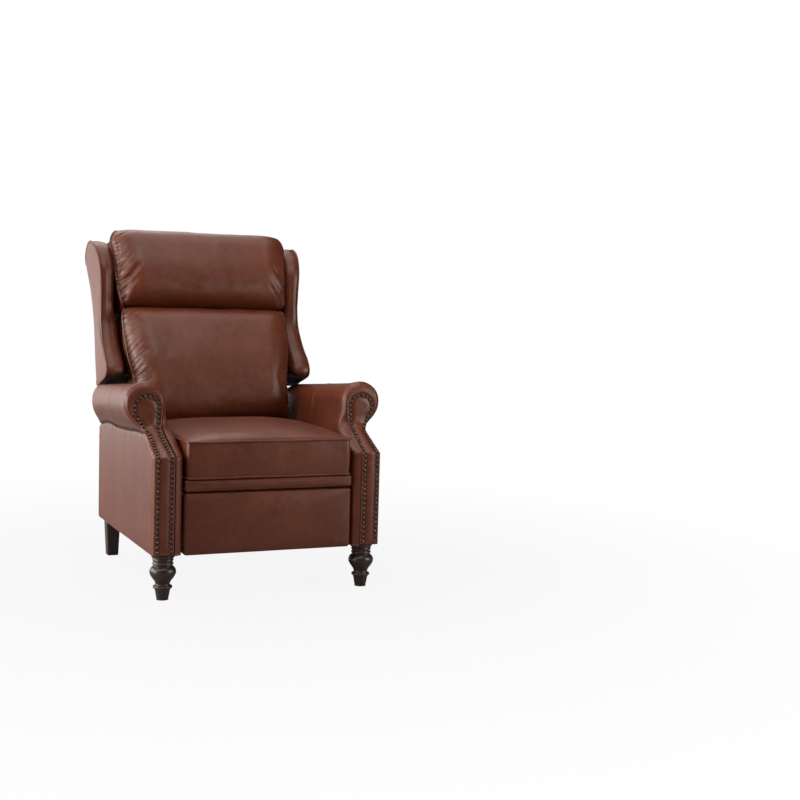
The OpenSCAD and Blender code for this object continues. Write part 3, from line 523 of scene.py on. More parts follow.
def metal(name, deep, tone, pale, gloss, metallic=1.0, spots=45.0):
    """Metal with patina: darker in clouds, brighter where it is worn."""
    made, tree, shader, coords = start_material(name)
    cloud = scaled(tree, coords, spots, 4.0, 0.65)
    fine = scaled(tree, coords, 420.0, 4.0, 0.6)
    body = ramp(tree, cloud, [(0.32, deep), (0.52, tone), (0.72, pale)])
    body = blend_colour(tree, attribute(tree, "wear"), body, paler_tone(pale, 1.6))
    set_surface(
        tree, shader, body, [(cloud, 0.22), (fine, 0.14)], gloss - 0.18, [(fine, 0.5), (cloud, 0.6)],
        0.0004, 0.5, Metallic=metallic,
    )
    return made


def dust_cloth(name, tone, pale):
    """Plain woven cloth."""
    made, tree, shader, coords = start_material(name)
    weave = add_node(
        tree, "ShaderNodeTexVoronoi", [(coords, "Vector")], Scale=900.0, feature="F1", distance="CHEBYCHEV"
    )
    lint = scaled(tree, coords, 90.0, 4.0)
    body = ramp(tree, lint, [(0.3, tone), (0.7, pale)])
    set_surface(
        tree, shader, body, [(lint, 0.2)], 0.75, [(weave.outputs["Distance"], 0.8), (lint, 0.4)],
        0.0005, 0.6, Specular_IOR_Level=0.2,
    )
    return made


LEATHER = leather(
    "cognac_leather", (0.110, 0.0218, 0.0070), (0.138, 0.0291, 0.0098), (0.165, 0.0378, 0.0137), 0.39
)
WELT = leather(
    "welt_leather", (0.110, 0.0235, 0.0085), (0.145, 0.0330, 0.0125), (0.180, 0.0450, 0.0185), 0.40, 0.6
)
LEG_WOOD = wood(
    "espresso_leg", (0.017, 0.0065, 0.0035), (0.029, 0.0115, 0.0062), (0.046, 0.019, 0.010), 0.36, coat=0.25
)
FRAME_WOOD = wood(
    "frame_timber", (0.40, 0.26, 0.14), (0.50, 0.34, 0.20), (0.60, 0.43, 0.27), 0.62, (8.0, 60.0, 60.0)
)
NAIL_BRASS = metal(
    "antique_nail", (0.050, 0.028, 0.018), (0.130, 0.080, 0.053), (0.29, 0.20, 0.15), 0.38, 0.7, 160.0
)
LINK_STEEL = metal(
    "painted_link_steel", (0.020, 0.020, 0.022), (0.032, 0.032, 0.035), (0.050, 0.050, 0.055), 0.42, 0.6
)
SPRING_STEEL = metal("spring_wire", (0.22, 0.22, 0.23), (0.32, 0.32, 0.33), (0.45, 0.45, 0.46), 0.34)
BOLT_STEEL = metal("zinc_bolt", (0.30, 0.30, 0.29), (0.42, 0.42, 0.40), (0.55, 0.55, 0.52), 0.34)
DUST_CLOTH = dust_cloth("black_dust_cloth", (0.006, 0.005, 0.005), (0.012, 0.010, 0.009))


# Arms


NECK_H = CREST_FRONT - PANEL_TOP
SCROLL_W = ROLL_OUT - CREASE_X
# The facing above its flat panel: shares of the neck's height, of the width from the crease to the
# widest point (inner edge, outer edge) and of the scroll's distance back
FACING_SHARES = [
    (0, 0, 0.564, 0), (0.071, 0.01, 0.56, 0.21), (0.143, 0.03, 0.56, 0.42), (0.219, 0.045, 0.555, 0.64),
    (0.291, 0.055, 0.56, 0.83), (0.347, 0.06, 0.60, 0.93), (0.403, 0.05, 0.68, 0.98), (0.474, 0.03, 0.80, 1),
    (0.551, 0.015, 0.90, 1), (0.633, 0.01, 0.962, 1), (0.71, 0.015, 0.978, 1), (0.79, 0.04, 0.955, 1),
    (0.86, 0.115, 0.875, 1), (0.912, 0.235, 0.75, 1), (0.945, 0.37, 0.62, 1), (0.958, 0.44, 0.55, 1),
]
NECK_PLACES = [
    (CREASE_X + a * SCROLL_W, CREASE_X + b * SCROLL_W, c * SCROLL_Y, PANEL_TOP + h * NECK_H)
    for h, a, b, c in FACING_SHARES
]
neck_line = curve_through(NECK_PLACES, 130)
panel_line = np.array([(CREASE_X, ARM_OUT, 0, z) for z in np.linspace(LEG_H, PANEL_TOP, 90)[:-1]])
# Inner edge, outer edge, distance back and height of every row of the facing, foot to crest
FACING_ROWS = np.vstack([panel_line, neck_line])
FACING_Z = FACING_ROWS[:, 3]
EDGE_R = 7.5

NAIL_R, NAIL_H, NAIL_LIP, NAIL_SINK = 4.6, 2.8, 0.8, 0.3
NAIL_PITCH, NAIL_INSET = 14.0, 12.0
RING_X = mix(CREASE_X, ROLL_OUT, 0.464)
RING_Z = mix(PANEL_TOP, CREST_FRONT, 0.622)
RING_R = 0.33 * SCROLL_W
INNER_END_Z, OUTER_END_Z = PANEL_TOP + 0.36 * NECK_H, PANEL_TOP + 0.27 * NECK_H


def face_y(z):
    """How far back the facing lies at height z."""
    return np.interp(z, FACING_Z, FACING_ROWS[:, 2])


def face_run(z):
    """Length along the facing's front from its foot up to height z."""
    return np.interp(z, FACING_Z, run_along(FACING_ROWS[:, 2:]))


def nail_path():
    """The nail line as (x, z), up the inner edge, round the scroll and down the outer edge."""
    rise = np.linspace(LEG_H + NAIL_INSET, INNER_END_Z, 60)
    inner = [(np.interp(z, FACING_Z, FACING_ROWS[:, 0]) + NAIL_INSET, z) for z in rise]
    turn = np.radians(np.arange(200, -41, -8))
    ring = [(RING_X + RING_R * math.cos(a), RING_Z + RING_R * math.sin(a)) for a in turn]
    low = np.linspace(LEG_H + NAIL_INSET, OUTER_END_Z, 56)[::-1]
    outer = [(np.interp(z, FACING_Z, FACING_ROWS[:, 1]) - NAIL_INSET, z) for z in low]
    return np.array(inner + ring + outer)


NAIL_LINE = nail_path()
NAIL_LINE = np.column_stack([NAIL_LINE[:, 0], face_run(NAIL_LINE[:, 1]), NAIL_LINE[:, 1]])
NAIL_COUNT = int(run_along(NAIL_LINE[:, :2])[-1] / NAIL_PITCH) + 1
# Nail centres as (x, run, z), evenly spaced on the unfolded facing
NAILS = even_steps(NAIL_LINE, NAIL_COUNT, measured=2)


def facing_normal(z):
    """Direction that the facing's front looks in, as (y, z)."""
    step = 3.0
    run_y = face_y(z + step) - face_y(z - step)
    run_z = np.full_like(run_y, 2 * step)
    size = np.hypot(run_y, run_z)
    return -run_z / size, run_y / size


def gap_to(points, line):
    """Distance of each point to a line of straight steps."""
    a, b = line[None, :-1], line[None, 1:]
    along = np.clip(((points - a) * (b - a)).sum(-1) / np.maximum(((b - a) ** 2).sum(-1), 1e-9), 0, 1)
    return np.linalg.norm(points - a - (b - a) * along[..., None], axis=-1).min(1)


def facing_relief(x, z, run, seed):
    """How far the facing's leather lies back, how much paler it is (worn, with painted highlights) and how
    much darker (painted shade with dirt), at points on the unfolded front.
    """
    edge = np.vstack([
        np.stack([FACING_ROWS[:, 0], face_run(FACING_Z)], -1),
        np.stack([FACING_ROWS[::-1, 1], face_run(FACING_Z[::-1])], -1),
        [[FACING_ROWS[0, 0], 0]],
    ])
    flat = np.stack([x, run], -1)[:, None]
    depth = gap_to(flat, edge)
    row = gap_to(flat, NAIL_LINE[:, :2])
    nail = np.linalg.norm(flat - NAILS[None, :, :2], axis=-1).min(1)
    # The nails draw a groove into the padding, which swells between them
    deep = quarter_round(depth, EDGE_R) + 2.6 * hill(row, 0, 5.5)
    deep -= 1.6 * smooth((row - 4) / 14) * smooth((depth - 10) / 10)
    deep += 0.9 * hill(nail, 0, 5.4)
    # Puckers run outwards from the nails round the scroll
    turn = np.arctan2(z - RING_Z, x - RING_X)
    up = (z - PANEL_TOP) / NECK_H
    on_scroll = smooth((up - 0.42) * NECK_H / 20)
    deep += 0.55 * np.sin(turn * 34 + 2.0 * np.sin(turn * 5)) * hill(row, 7.5, 4.0) * on_scroll
    # Painted shade with dirt darkens the nail row and the leather round each nail
    fold = 0.30 * np.exp(-((row / 5.4) ** 4)) + 0.45 * np.exp(-((nail / 6.2) ** 4))
    # The leather is cracked and worn pale on the neck, and a pale line along the rim's crest is a painted
    # highlight
    streak_at = np.stack([x, 0.35 * run, 0 * run], -1)
    streak = 0.5 + 0.5 * soft_noise(streak_at, 0.12, 4.0 + seed)
    cracks = soft_noise(np.stack([x, run, 0 * run], -1), 0.13, 8.0 + seed)
    cracks = 1 - np.clip(np.abs(cracks) / 0.22, 0, 1)
    deep += 0.9 * cracks * smooth(up / 0.04) * smooth((0.50 - up) / 0.2)
    neck = smooth(up / 0.04) * smooth((0.52 - up) / 0.2) * smooth((depth - 14) / 6)
    wear = 0.20 * hill(depth, 4.5, 3.0) + 0.42 * neck * streak * (1 - 0.8 * cracks)
    # A pale line along the crease at the panel's top: worn leather with a painted highlight
    fold_line = hill(run, face_run(PANEL_TOP), 2.4)
    wear = np.maximum(wear, 0.42 * fold_line * smooth((depth - 8) / 6))
    return deep + 0.5 * fold_line, wear, fold


def arm_facing(side, s):
    """The nailed front panel: crowned, its edge rolled back, and dimpled round each nail."""
    cols = 44
    spread = (1 - np.cos(np.linspace(0, math.pi, cols))) / 2
    x = FACING_ROWS[:, :1] + (FACING_ROWS[:, 1:2] - FACING_ROWS[:, :1]) * spread
    z = np.repeat(FACING_Z[:, None], cols, 1)
    y = np.repeat(FACING_ROWS[:, 2:3], cols, 1)
    deep, wear, fold = facing_relief(x.ravel(), z.ravel(), face_run(z).ravel(), s)
    ny, nz = facing_normal(z)
    deep = deep.reshape(x.shape)
    grid = np.stack([s * x, y - ny * deep, z - nz * deep], -1)
    # Each ring runs across the front and back along the frame
    shares = np.linspace(0, 1, 5)
    back_x = mix(x[:, -1:], x[:, :1], shares)
    back_y = np.repeat(y[:, :1] + FACING_T - 0.4, len(shares), 1)
    rear = np.stack([s * back_x, back_y, np.repeat(z[:, :1], len(shares), 1)], -1)
    rings = np.concatenate([grid, rear], 1)
    pad = lambda v: np.pad(v.reshape(x.shape), ((0, 0), (0, len(shares)))).ravel()
    values = [("wear", pad(wear)), ("fold", pad(fold))]
    piece = loft_piece(f"arm_facing_skin_{side}", chair(rings), LEATHER, values, cap_rings=3)
    place(piece, "base", "leather", f"arm_facing_{side}")


# The arm's skin from the seam under the roll, over the crest and down the inner side, as (x, z):
# shares of the roll's width from the inner side, and of the height from seam to crest
SEAM_SHARE = (ARM_OUT - ARM_IN) / (ROLL_OUT - ARM_IN)
ROLL_SHARES = [
    (SEAM_SHARE, 0), (0.677, 0.099), (0.752, 0.176), (0.859, 0.274), (0.942, 0.38), (0.988, 0.493),
    (1, 0.612), (0.979, 0.732), (0.917, 0.838), (0.814, 0.923), (0.694, 0.979), (0.58, 1), (0.475, 0.979),
    (0.355, 0.923), (0.247, 0.838), (0.185, 0.732), (0.165, 0.64), (0.157, 0.52), (0.14, 0.38),
    (0.112, 0.24), (0.07, 0.09), (0.025, -0.05), (0.006, -0.16), (0, -0.30),
]
ROLL_COUNT, SIDE_COUNT = 84, 46
STRIP_R, RIM_R, SHOULDER, SIDE_CORNER_R = 24.0, 11.0, 4.5, 7.0
REAR_ROUND_R, CROSS_SEAM_Y = 14.0, 400.0
# Pulls at the inner neck: place along the arm, length, width and depth
NECK_PULLS = ((150, 24, 9.0, 1.6), (172, 30, 8.0, 1.3), (128, 20, 7.0, 1.5), (196, 26, 9.0, 0.9))


def arm_section(y):
    """The arm's section at distance y back, as (x, z) points from the outer seam to the foot inside."""
    reach = ROLL_OUT - ROLL_NARROW * along_arm(y)
    low, high = seam_z(y), crest_z(y)
    points = []
    for a, b in ROLL_SHARES:
        inner = ARM_IN + a / SEAM_SHARE * (ARM_OUT - ARM_IN)
        outer = ARM_OUT + (a - SEAM_SHARE) / (1 - SEAM_SHARE) * (reach - ARM_OUT)
        points.append((outer if a > SEAM_SHARE else inner, mix(low, high, b)))
    roll = curve_through(points, ROLL_COUNT)
    side = [(ARM_IN, mix(roll[-1, 1], LEG_H, (k + 1) / SIDE_COUNT)) for k in range(SIDE_COUNT)]
    return np.vstack([roll, side])


def section_normals(line):
    """Outward normals of an arm section, as (x, z)."""
    step = unit(np.gradient(line, axis=0))
    return np.stack([step[:, 1], -step[:, 0]], -1)


def neck_pulls(grid, crest):
    """Short pulls at the inner neck, where the cover turns down from the roll to the strip."""
    y, z = grid[..., 1], grid[..., 2] - 500
    inner = (np.arange(grid.shape[0]) > crest + 10)[:, None]
    total = np.zeros_like(y)
    for at_y, length, width, deep in NECK_PULLS:
        total += deep * hill(y + 0.35 * z, at_y, width) * hill(z, 0, length) * inner
    return total


def push(grid, ways, amount):
    """Moves a grid's points against directions given as (x, z)."""
    grid[..., 0] -= ways[:, :1] * amount
    grid[..., 2] -= ways[:, 1:] * amount


def arm_skin(side, s):
    """Roll, inner side and the rounded strip beside the facing, which are one stretched cover."""
    front, rear = arm_section(SCROLL_Y), arm_section(ARM_L)
    order = np.arange(len(front))
    crest = int(np.argmax(front[:, 1]))
    share = np.sort(np.concatenate([
        np.linspace(0, 1, 26) ** 1.5 * 0.06,
        np.linspace(0.06, 0.96, 150)[1:],
        1 - np.linspace(1, 0, 16)[1:] ** 1.5 * 0.04,
        along_arm(CROSS_SEAM_Y) + np.linspace(-0.013, 0.013, 16),
    ]))
    begin = np.minimum(SCROLL_Y, face_y(front[:, 1]))[:, None] + 1.0
    y = begin + (ARM_L - begin) * share[None, :]
    t = np.clip(along_arm(y), 0, 1)[..., None]
    section = front[:, None] * (1 - t) + rear[:, None] * t
    grid = np.stack([section[..., 0], y, section[..., 1]], -1)
    normal = section_normals(front)
    # Towards the front the cover turns in to the facing's edge, widely beside the seat and tightly elsewhere
    inner = smooth((order - crest - 8) / 26.0)[:, None]
    rim = np.vstack([FACING_ROWS[:, [0, 3]], FACING_ROWS[:, [1, 3]]])
    rim_gap = np.linalg.norm(front[:, None] - rim[None], axis=-1).min(1)[:, None] + 1.5
    edge_gap = np.interp(front[:, 1], FACING_Z, FACING_ROWS[:, 0])[:, None] - front[:, :1]
    turn_r = np.maximum(mix(RIM_R, STRIP_R, inner), 1.5 * (1 - inner) * rim_gap)
    gap = mix(rim_gap, np.maximum(edge_gap, 2.0), inner)
    turned = np.hstack([mix(normal[:, :1], -1.0, inner), normal[:, 1:] * (1 - inner)])
    push(grid, turned, quarter_round(y - begin, turn_r) * gap / turn_r)
    # The rear end is rounded before its flat cap
    push(grid, section_normals(rear), 0.7 * quarter_round(ARM_L - y, REAR_ROUND_R))
    grid[..., 2] += seam_wave(y) * smooth((22 - order) / 22.0)[:, None]
    # The roll's lowest edge turns in under itself, which leaves a dark groove above the side cover
    for row, turned_in in enumerate((7.5, 3.0, 0.8)):
        grid[row, :, 0] -= turned_in
    on_roll = smooth((ROLL_COUNT - 14 - order) / 16.0)[:, None]
    seam = hill(y, CROSS_SEAM_Y, 2.1) * on_roll
    pucker = hill(y, CROSS_SEAM_Y, 14.0) * on_roll
    dent = 2.2 * seam - pucker + neck_pulls(grid, crest)
    # The padding stands up in a soft shoulder just behind the facing
    ahead = y - begin
    padded = smooth(ahead / 14.0) * (1 - smooth((ahead - 18) / 80.0))
    dent -= SHOULDER * padded * smooth((ROLL_COUNT - order) / 14.0)[:, None]
    push(grid, normal, dent)
    # A flat cap closes the rear of the roll
    centre_x = mix(ARM_IN, ARM_OUT, 0.78)
    low, high = seam_z(ARM_L), crest_z(ARM_L)
    x, z = grid[:, -1, 0], grid[:, -1, 2]
    caps = []
    for part in (0.2, 0.45, 0.7, 0.9, 0.99):
        cap_x = np.where(z > low, mix(x, centre_x, part), x + 8 * part)
        cap_z = np.where(z > low, mix(z, np.clip(z, low, mix(low, high, 0.6)), part), z)
        caps.append(np.stack([cap_x, grid[:, -1, 1], cap_z], -1)[:, None])
    grid = np.concatenate([grid] + caps, 1)
    beyond = ((0, 0), (0, len(caps)))
    # The cross seam is drawn as a dark line, and the groove under the roll's lowest edge is darkened as
    # painted shade
    fold = np.pad(0.9 * seam, beyond)
    fold[:3] = [[0.95], [0.6], [0.12]]
    # Behind the pillows the inner side gets painted shade: darker and rougher
    shade_behind_pillows = smooth((y - CROSS_SEAM_Y - 50) / 90.0) * smooth((order - crest - 14) / 16.0)[:, None]
    fold = np.maximum(fold, np.pad(0.6 * shade_behind_pillows, beyond, mode="edge"))
    # Paler on the swell round the cross seam, and a painted highlight along the roll's front rim
    wear = np.pad(0.12 * pucker, beyond)
    wear[: crest + 6, :6] += 0.2
    grid[..., 0] *= s
    values = [("wear", wear.ravel()), ("fold", fold.ravel())]
    piece = skin_piece(f"arm_cover_{side}", chair(grid), LEATHER, -s * 5.0 * MM, values)
    place(piece, "base", "leather", f"arm_roll_{side}", f"inner_arm_cover_{side}")


def side_outline(start):
    """Places (x, y), outward directions and distance from the corner, along the cover and round it."""
    r = SIDE_CORNER_R
    straight = ARM_L - r - start
    turn = r * math.pi / 2
    run = np.linspace(0, 1, 110) * (straight + turn + ARM_OUT - r - ARM_IN - COVER_T)
    a = np.clip((run - straight) / r, 0, math.pi / 2)
    x = ARM_OUT - r + r * np.cos(a) - np.maximum(run - straight - turn, 0)
    y = start + np.minimum(run, straight) + r * np.sin(a)
    return x, y, np.cos(a), np.sin(a), np.abs(run - straight - turn / 2)


def side_cover(side, s):
    """The flat outer side, from the facing back to the corner and across the arm's rear end."""
    grid, wear, fold = [], [], []
    # The last three rows turn in under the roll, so that nothing shows through the groove
    levels = [(v, 0.0) for v in np.concatenate([np.linspace(0, 0.95, 46), np.linspace(0.958, 1, 14)])]
    for v, turned_in in levels + [(1.0, 5.0), (1.0, 11.0), (1.0, 18.0)]:
        start = face_y(mix(LEG_H, SEAM_FRONT, v)) + 9.0
        x, y, out_x, out_y, to_corner = side_outline(start)
        top_z = seam_z(np.clip(y, SCROLL_Y, ARM_L)) + seam_wave(y)
        z = mix(LEG_H, top_z, v)
        top, foot = top_z - z, z - LEG_H
        along = np.clip((y - start) / (ARM_L - start), 0, 1)
        puff = 2.2 * np.sin(math.pi * along) ** 0.5 * math.sin(math.pi * v) ** 0.6
        tuck = 4.5 * np.exp(-top / 3.5) + 2.5 * np.exp(-foot / 3.0) + 3.5 * np.exp(-(y - start) / 3.0)
        slow = np.array([noise.noise(Vector((b * 0.019, c * 0.004, 3.1))) for b, c in zip(y, z)])
        quick = np.array([noise.noise(Vector((b * 0.05, c * 0.010, 7.7))) for b, c in zip(y, z)])
        off = puff - tuck + 1.6 * slow * np.exp(-top / 150) + 1.5 * quick * np.exp(-top / 55) - turned_in
        grid.append(np.stack([s * (x + out_x * off), y + out_y * off * 0.6, z], -1))
        # Painted shade along the top edge under the roll's groove and a little at the foot
        fold.append(np.minimum(0.96, 1.2 * hill(top, 0, 2.3) + 0.2 * np.exp(-foot / 3.0)))
        wear.append(0.15 * np.exp(-to_corner / 4.0))
    values = [("wear", np.ravel(wear)), ("fold", np.ravel(fold))]
    piece = skin_piece(f"side_cover_{side}", chair(grid), LEATHER, -s * 5.5 * MM, values)
    place(piece, "base", "leather", f"outer_side_cover_{side}")


def arm_welt(side, s):
    """The thin welt between the facing's rim and the roll, up the outer edge and down the inner one."""
    up = [(r[1], r[2], r[3]) for r in FACING_ROWS if r[3] >= SEAM_FRONT + 4]
    down = [(r[0], r[2], r[3]) for r in FACING_ROWS[::-1] if r[3] >= PANEL_TOP + 0.42 * NECK_H]
    line = curve_through(np.array(up + down), 150)
    line[:, 1] += FACING_T - 1.0
    line[:, 0] *= s
    place(tube_piece(f"arm_welt_{side}", chair(line), 2.6 * MM, WELT), "base", "leather")


def dome_mesh(radius, height):
    """A nail's head: a low dome with a flat lip, in millimetres, its top along Z."""
    sides = 10
    levels = [(share, height * math.sqrt(1 - share**2)) for share in (1.0, 0.93, 0.72, 0.4)]
    verts = [
        (radius * share * math.cos(a) * MM, radius * share * math.sin(a) * MM, rise * MM)
        for share, rise in levels + [(0.9, -NAIL_LIP)]
        for a in np.linspace(0, 2 * math.pi, sides, endpoint=False)
    ]
    faces = [
        (ring * sides + j, ring * sides + (j + 1) % sides, after * sides + (j + 1) % sides, after * sides + j)
        for ring, after in ((0, 1), (1, 2), (2, 3), (4, 0))
        for j in range(sides)
    ]
    faces.append(tuple(3 * sides + j for j in range(sides)))
    faces.append(tuple(4 * sides + j for j in reversed(range(sides))))
    mesh = bpy.data.meshes.new("dome")
    mesh.from_pydata(verts, [], faces)
    mesh.shade_smooth()
    return mesh


def scatter_tree():
    """Geometry Nodes that stand an item on every point, turned to its facing direction and spun at random."""
    tree = bpy.data.node_groups.new("stand_on_points", "GeometryNodeTree")
    inputs = (
        ("Points", "Geometry"), ("Item", "Object"), ("Finish", "Material"),
        ("Least size", "Float"), ("Greatest size", "Float"),
    )
    for label, kind in inputs:
        tree.interface.new_socket(label, in_out="INPUT", socket_type="NodeSocket" + kind)
    tree.interface.new_socket("Result", in_out="OUTPUT", socket_type="NodeSocketGeometry")
    kinds = {
        "source": "NodeGroupInput", "out": "NodeGroupOutput", "item": "GeometryNodeObjectInfo",
        "stand": "GeometryNodeInstanceOnPoints", "facing": "GeometryNodeInputNamedAttribute",
        "align": "FunctionNodeAlignEulerToVector", "spin": "FunctionNodeRandomValue",
        "turn": "FunctionNodeRotateEuler", "size": "FunctionNodeRandomValue",
        "real": "GeometryNodeRealizeInstances", "paint": "GeometryNodeSetMaterial",
    }
    n = {key: tree.nodes.new(kind) for key, kind in kinds.items()}
    n["facing"].data_type = "FLOAT_VECTOR"
    n["facing"].inputs["Name"].default_value = "facing"
    n["align"].axis = "Z"
    n["spin"].data_type = "FLOAT_VECTOR"
    n["size"].data_type = "FLOAT"
    n["turn"].space = "LOCAL"
    named = lambda sockets, label: next(s for s in sockets if label in (s.identifier, s.name) and s.enabled)
    taken = lambda key, label: named(n[key].inputs, label)
    given = lambda key, label: named(n[key].outputs, label)
    taken("spin", "Min").default_value = (0, 0, 0)
    taken("spin", "Max").default_value = (0.1, 0.1, 2 * math.pi)
    wires = (
        ("source", "Points", "stand", "Points"), ("source", "Item", "item", "Object"),
        ("item", "Geometry", "stand", "Instance"), ("facing", "Attribute", "align", "Vector"),
        ("align", "Rotation", "turn", "Rotation"), ("spin", "Value", "turn", "Rotate By"),
        ("turn", "Rotation", "stand", "Rotation"), ("source", "Least size", "size", "Min"),
        ("source", "Greatest size", "size", "Max"), ("size", "Value", "stand", "Scale"),
        ("stand", "Instances", "real", "Geometry"), ("real", "Geometry", "paint", "Geometry"),
        ("source", "Finish", "paint", "Material"), ("paint", "Geometry", "out", "Result"),
    )
    for giver, output, taker, wanted in wires:
        tree.links.new(given(giver, output), taken(taker, wanted))
    return tree


SCATTER = scatter_tree()


def scatter(name, points, facing, item_mesh, material, sizes):
    """Copies of an item's mesh on points in the frame, each with its Z along the facing direction."""
    mesh = bpy.data.meshes.new(name)
    mesh.from_pydata([tuple(p) for p in points], [], [])
    ways = mesh.attributes.new("facing", "FLOAT_VECTOR", "POINT")
    ways.data.foreach_set("vector", np.asarray(facing, np.float32).ravel())
    item = link(item_mesh, name + "_item")
    piece = link(mesh, name)
    mod = piece.modifiers.new("stand", "NODES")
    mod.node_group = SCATTER
    key = {i.name: i.identifier for i in SCATTER.interface.items_tree if i.in_out == "INPUT"}
    settings = {"Item": item, "Finish": material, "Least size": sizes[0], "Greatest size": sizes[1]}
    for label, value in settings.items():
        mod[key[label]] = value
    bake_modifiers(piece)
    bpy.data.objects.remove(item)
    if not piece.data.materials:
        piece.data.materials.append(material)
    return piece


def nail_trim(side, s):
    """Antique nailheads along the facing's nail line, pressed a little into the crowned leather."""
    z = NAILS[:, 2]
    ny, nz = facing_normal(z)
    places = np.stack([s * NAILS[:, 0], face_y(z) - ny * NAIL_SINK, z - nz * NAIL_SINK], -1)
    facing = np.stack([np.zeros_like(z), ny, nz], -1)
    dome = dome_mesh(NAIL_R, NAIL_H)
    piece = scatter(f"nailheads_{side}", chair(places), facing, dome, NAIL_BRASS, (0.97, 1.03))
    place(piece, "base", "antique_brass", f"nail_trim_{side}")


for side, s in SIDES:
    arm_facing(side, s)
    arm_skin(side, s)
    side_cover(side, s)
    arm_welt(side, s)
    nail_trim(side, s)


# Legs


LEG_X, LEG_Y, LEG_R = ARM_OUT - 39.0, 39.0, 37.0
# Radius and height of the turning, foot to top
LEG_SHARES = [
    (0.46, 0), (0.45, 0.03), (0.50, 0.10), (0.56, 0.20), (0.62, 0.245), (0.70, 0.26), (0.73, 0.285),
    (0.70, 0.31), (0.58, 0.325), (0.55, 0.36), (0.64, 0.42), (0.84, 0.50), (0.97, 0.57), (1.0, 0.62),
    (0.97, 0.67), (0.86, 0.72), (0.74, 0.745), (0.70, 0.76), (0.76, 0.775), (0.80, 0.80), (0.76, 0.825),
    (0.71, 0.84), (0.76, 0.86), (0.80, 0.885), (0.76, 0.91), (0.72, 0.925), (0.86, 0.94), (0.88, 0.995),
]
REAR_LEG_Y, REAR_TOP_W, REAR_FOOT_W, REAR_SPLAY, REAR_LEAN = 665.0, 44.0, 34.0, 35.0, 8.8
REAR_EASE, FOOT_EASE = 3.0, 1.5


def front_leg(side, s):
    """A turned leg: rings, a bulb and a tapered foot, all one lathe turning."""
    line = curve_through([(r * LEG_R, z * LEG_H) for r, z in LEG_SHARES], 90)
    turn = np.linspace(0, 2 * math.pi, 64, endpoint=False)
    rings = [[(s * LEG_X + r * math.cos(a), LEG_Y + r * math.sin(a), z) for a in turn] for r, z in line]
    edge = np.abs(np.gradient(np.gradient(line[:, 0])))
    wear = np.repeat(0.25 * np.clip(edge / 0.5, 0, 1), 64)
    piece = loft_piece(f"turned_leg_{side}", chair(rings), LEG_WOOD, [("wear", wear)])
    place(piece, "base", "dark_wood", f"front_leg_{side}")


def rear_leg(side, s):
    """A square leg that tapers to its foot, leans back and has eased edges."""
    corners = ((1, 1, 0), (-1, 1, 90), (-1, -1, 180), (1, -1, 270))
    rings, wear = [], []
    for t in np.concatenate([[0, 0.008, 0.02], np.linspace(0.06, 0.97, 18), [0.985, 0.997]]):
        half = mix(REAR_FOOT_W, REAR_TOP_W, t) / 2 - (FOOT_EASE if t == 0 else 0)
        middle = np.array([s * (LEG_X - REAR_LEAN * (1 - t)), REAR_LEG_Y + REAR_SPLAY * (1 - t)])
        turned = lambda a: REAR_EASE * np.array([math.cos(a), math.sin(a)])
        at = lambda qx, qy, a: middle + np.array([qx, qy]) * (half - REAR_EASE) + turned(a)
        ring = []
        for (qx, qy, start), (nx, ny, _) in zip(corners, corners[1:] + corners[:1]):
            ring += [at(qx, qy, a) for a in arc(5, start, start + 90)]
            wear += [0.0, 0.18, 0.18, 0.18, 0.0, 0.0, 0.0, 0.0]
            end = math.radians(start + 90)
            ring += [mix(at(qx, qy, end), at(nx, ny, end), k / 4) for k in (1, 2, 3)]
        rings.append([(*p, t * LEG_H) for p in ring])
    piece = loft_piece(f"tapered_leg_{side}", chair(rings), LEG_WOOD, [("wear", wear)], cap_rings=3)
    place(piece, "base", "dark_wood", f"rear_leg_{side}")


for side, s in SIDES:
    front_leg(side, s)
    rear_leg(side, s)


# Seat, front band and footrest


def rounded_box(half_x, half_y, corner, count):
    """Points and outward directions round a rectangle with round corners, from the middle of its -Y side."""
    points, ways = [(0.0, -half_y)], [(0.0, -1.0)]
    for qx, qy, start in ((1, -1, -90), (1, 1, 0), (-1, 1, 90), (-1, -1, 180)):
        for a in arc(24, start, start + 90):
            way = np.array([math.cos(a), math.sin(a)])
            points.append((qx * (half_x - corner), qy * (half_y - corner)) + corner * way)
            ways.append(way)
    both = np.hstack([np.array(points + points[:1]), np.array(ways + ways[:1])])
    line = even_steps(both, count, True, 2)
    return line[:, :2], unit(line[:, 2:])


SEAT_HALF = (SEAT_X - 1.5, SEAT_D / 2 - 1.5)
SEAT_TUCK = 3.0
SEAT_MID_Y, SEAT_CORNER = SEAT_D / 2, 15.0


def level(points, z):
    """Points (x, y) at one height."""
    return np.column_stack([points, np.full(len(points), z)])


def dome(points, half, power, root):
    """A padded crown's rise at points (x, y): 1 in the middle, 0 at the edges of its half sizes."""
    across = np.clip(1 - np.abs(points / half) ** power, 0, 1) ** root
    return across[:, 0] * across[:, 1]


def unmarked(rings):
    """All-zero paler-mark and painted-shade attributes, for a cover that has neither."""
    zero = np.zeros(rings.shape[0] * rings.shape[1])
    return [("wear", zero), ("fold", zero)]


def seat_rings(outline, way):
    """Rings of the seat cushion from its underside up the boxed sides and over the crown."""
    rings = []
    for t in np.concatenate([[0, 0.012, 0.03], np.linspace(0.06, 0.94, 26), [0.97, 0.988, 1.0]]):
        bulge = 2.6 * math.sin(math.pi * t) ** 0.7 - 2.2 * (math.exp(-t * 60) + math.exp(-(1 - t) * 60))
        rings.append(level(outline + way * (bulge - SEAT_TUCK), mix(SEAT_LOW, SEAT_EDGE, t)))
    steps = 74
    for k in range(1, steps):
        f = 1 - (k / steps) ** 1.7
        rise = SEAT_CROWN * dome(outline * f, SEAT_HALF, 2.7, 0.5) - 2.0 * math.exp(-(1 - f) * 160)
        rings.append(level((outline - way * SEAT_TUCK) * f, SEAT_EDGE + np.maximum(rise, 0.0)))
    rings = np.array(rings)
    rings[..., 1] += SEAT_MID_Y
    return rings


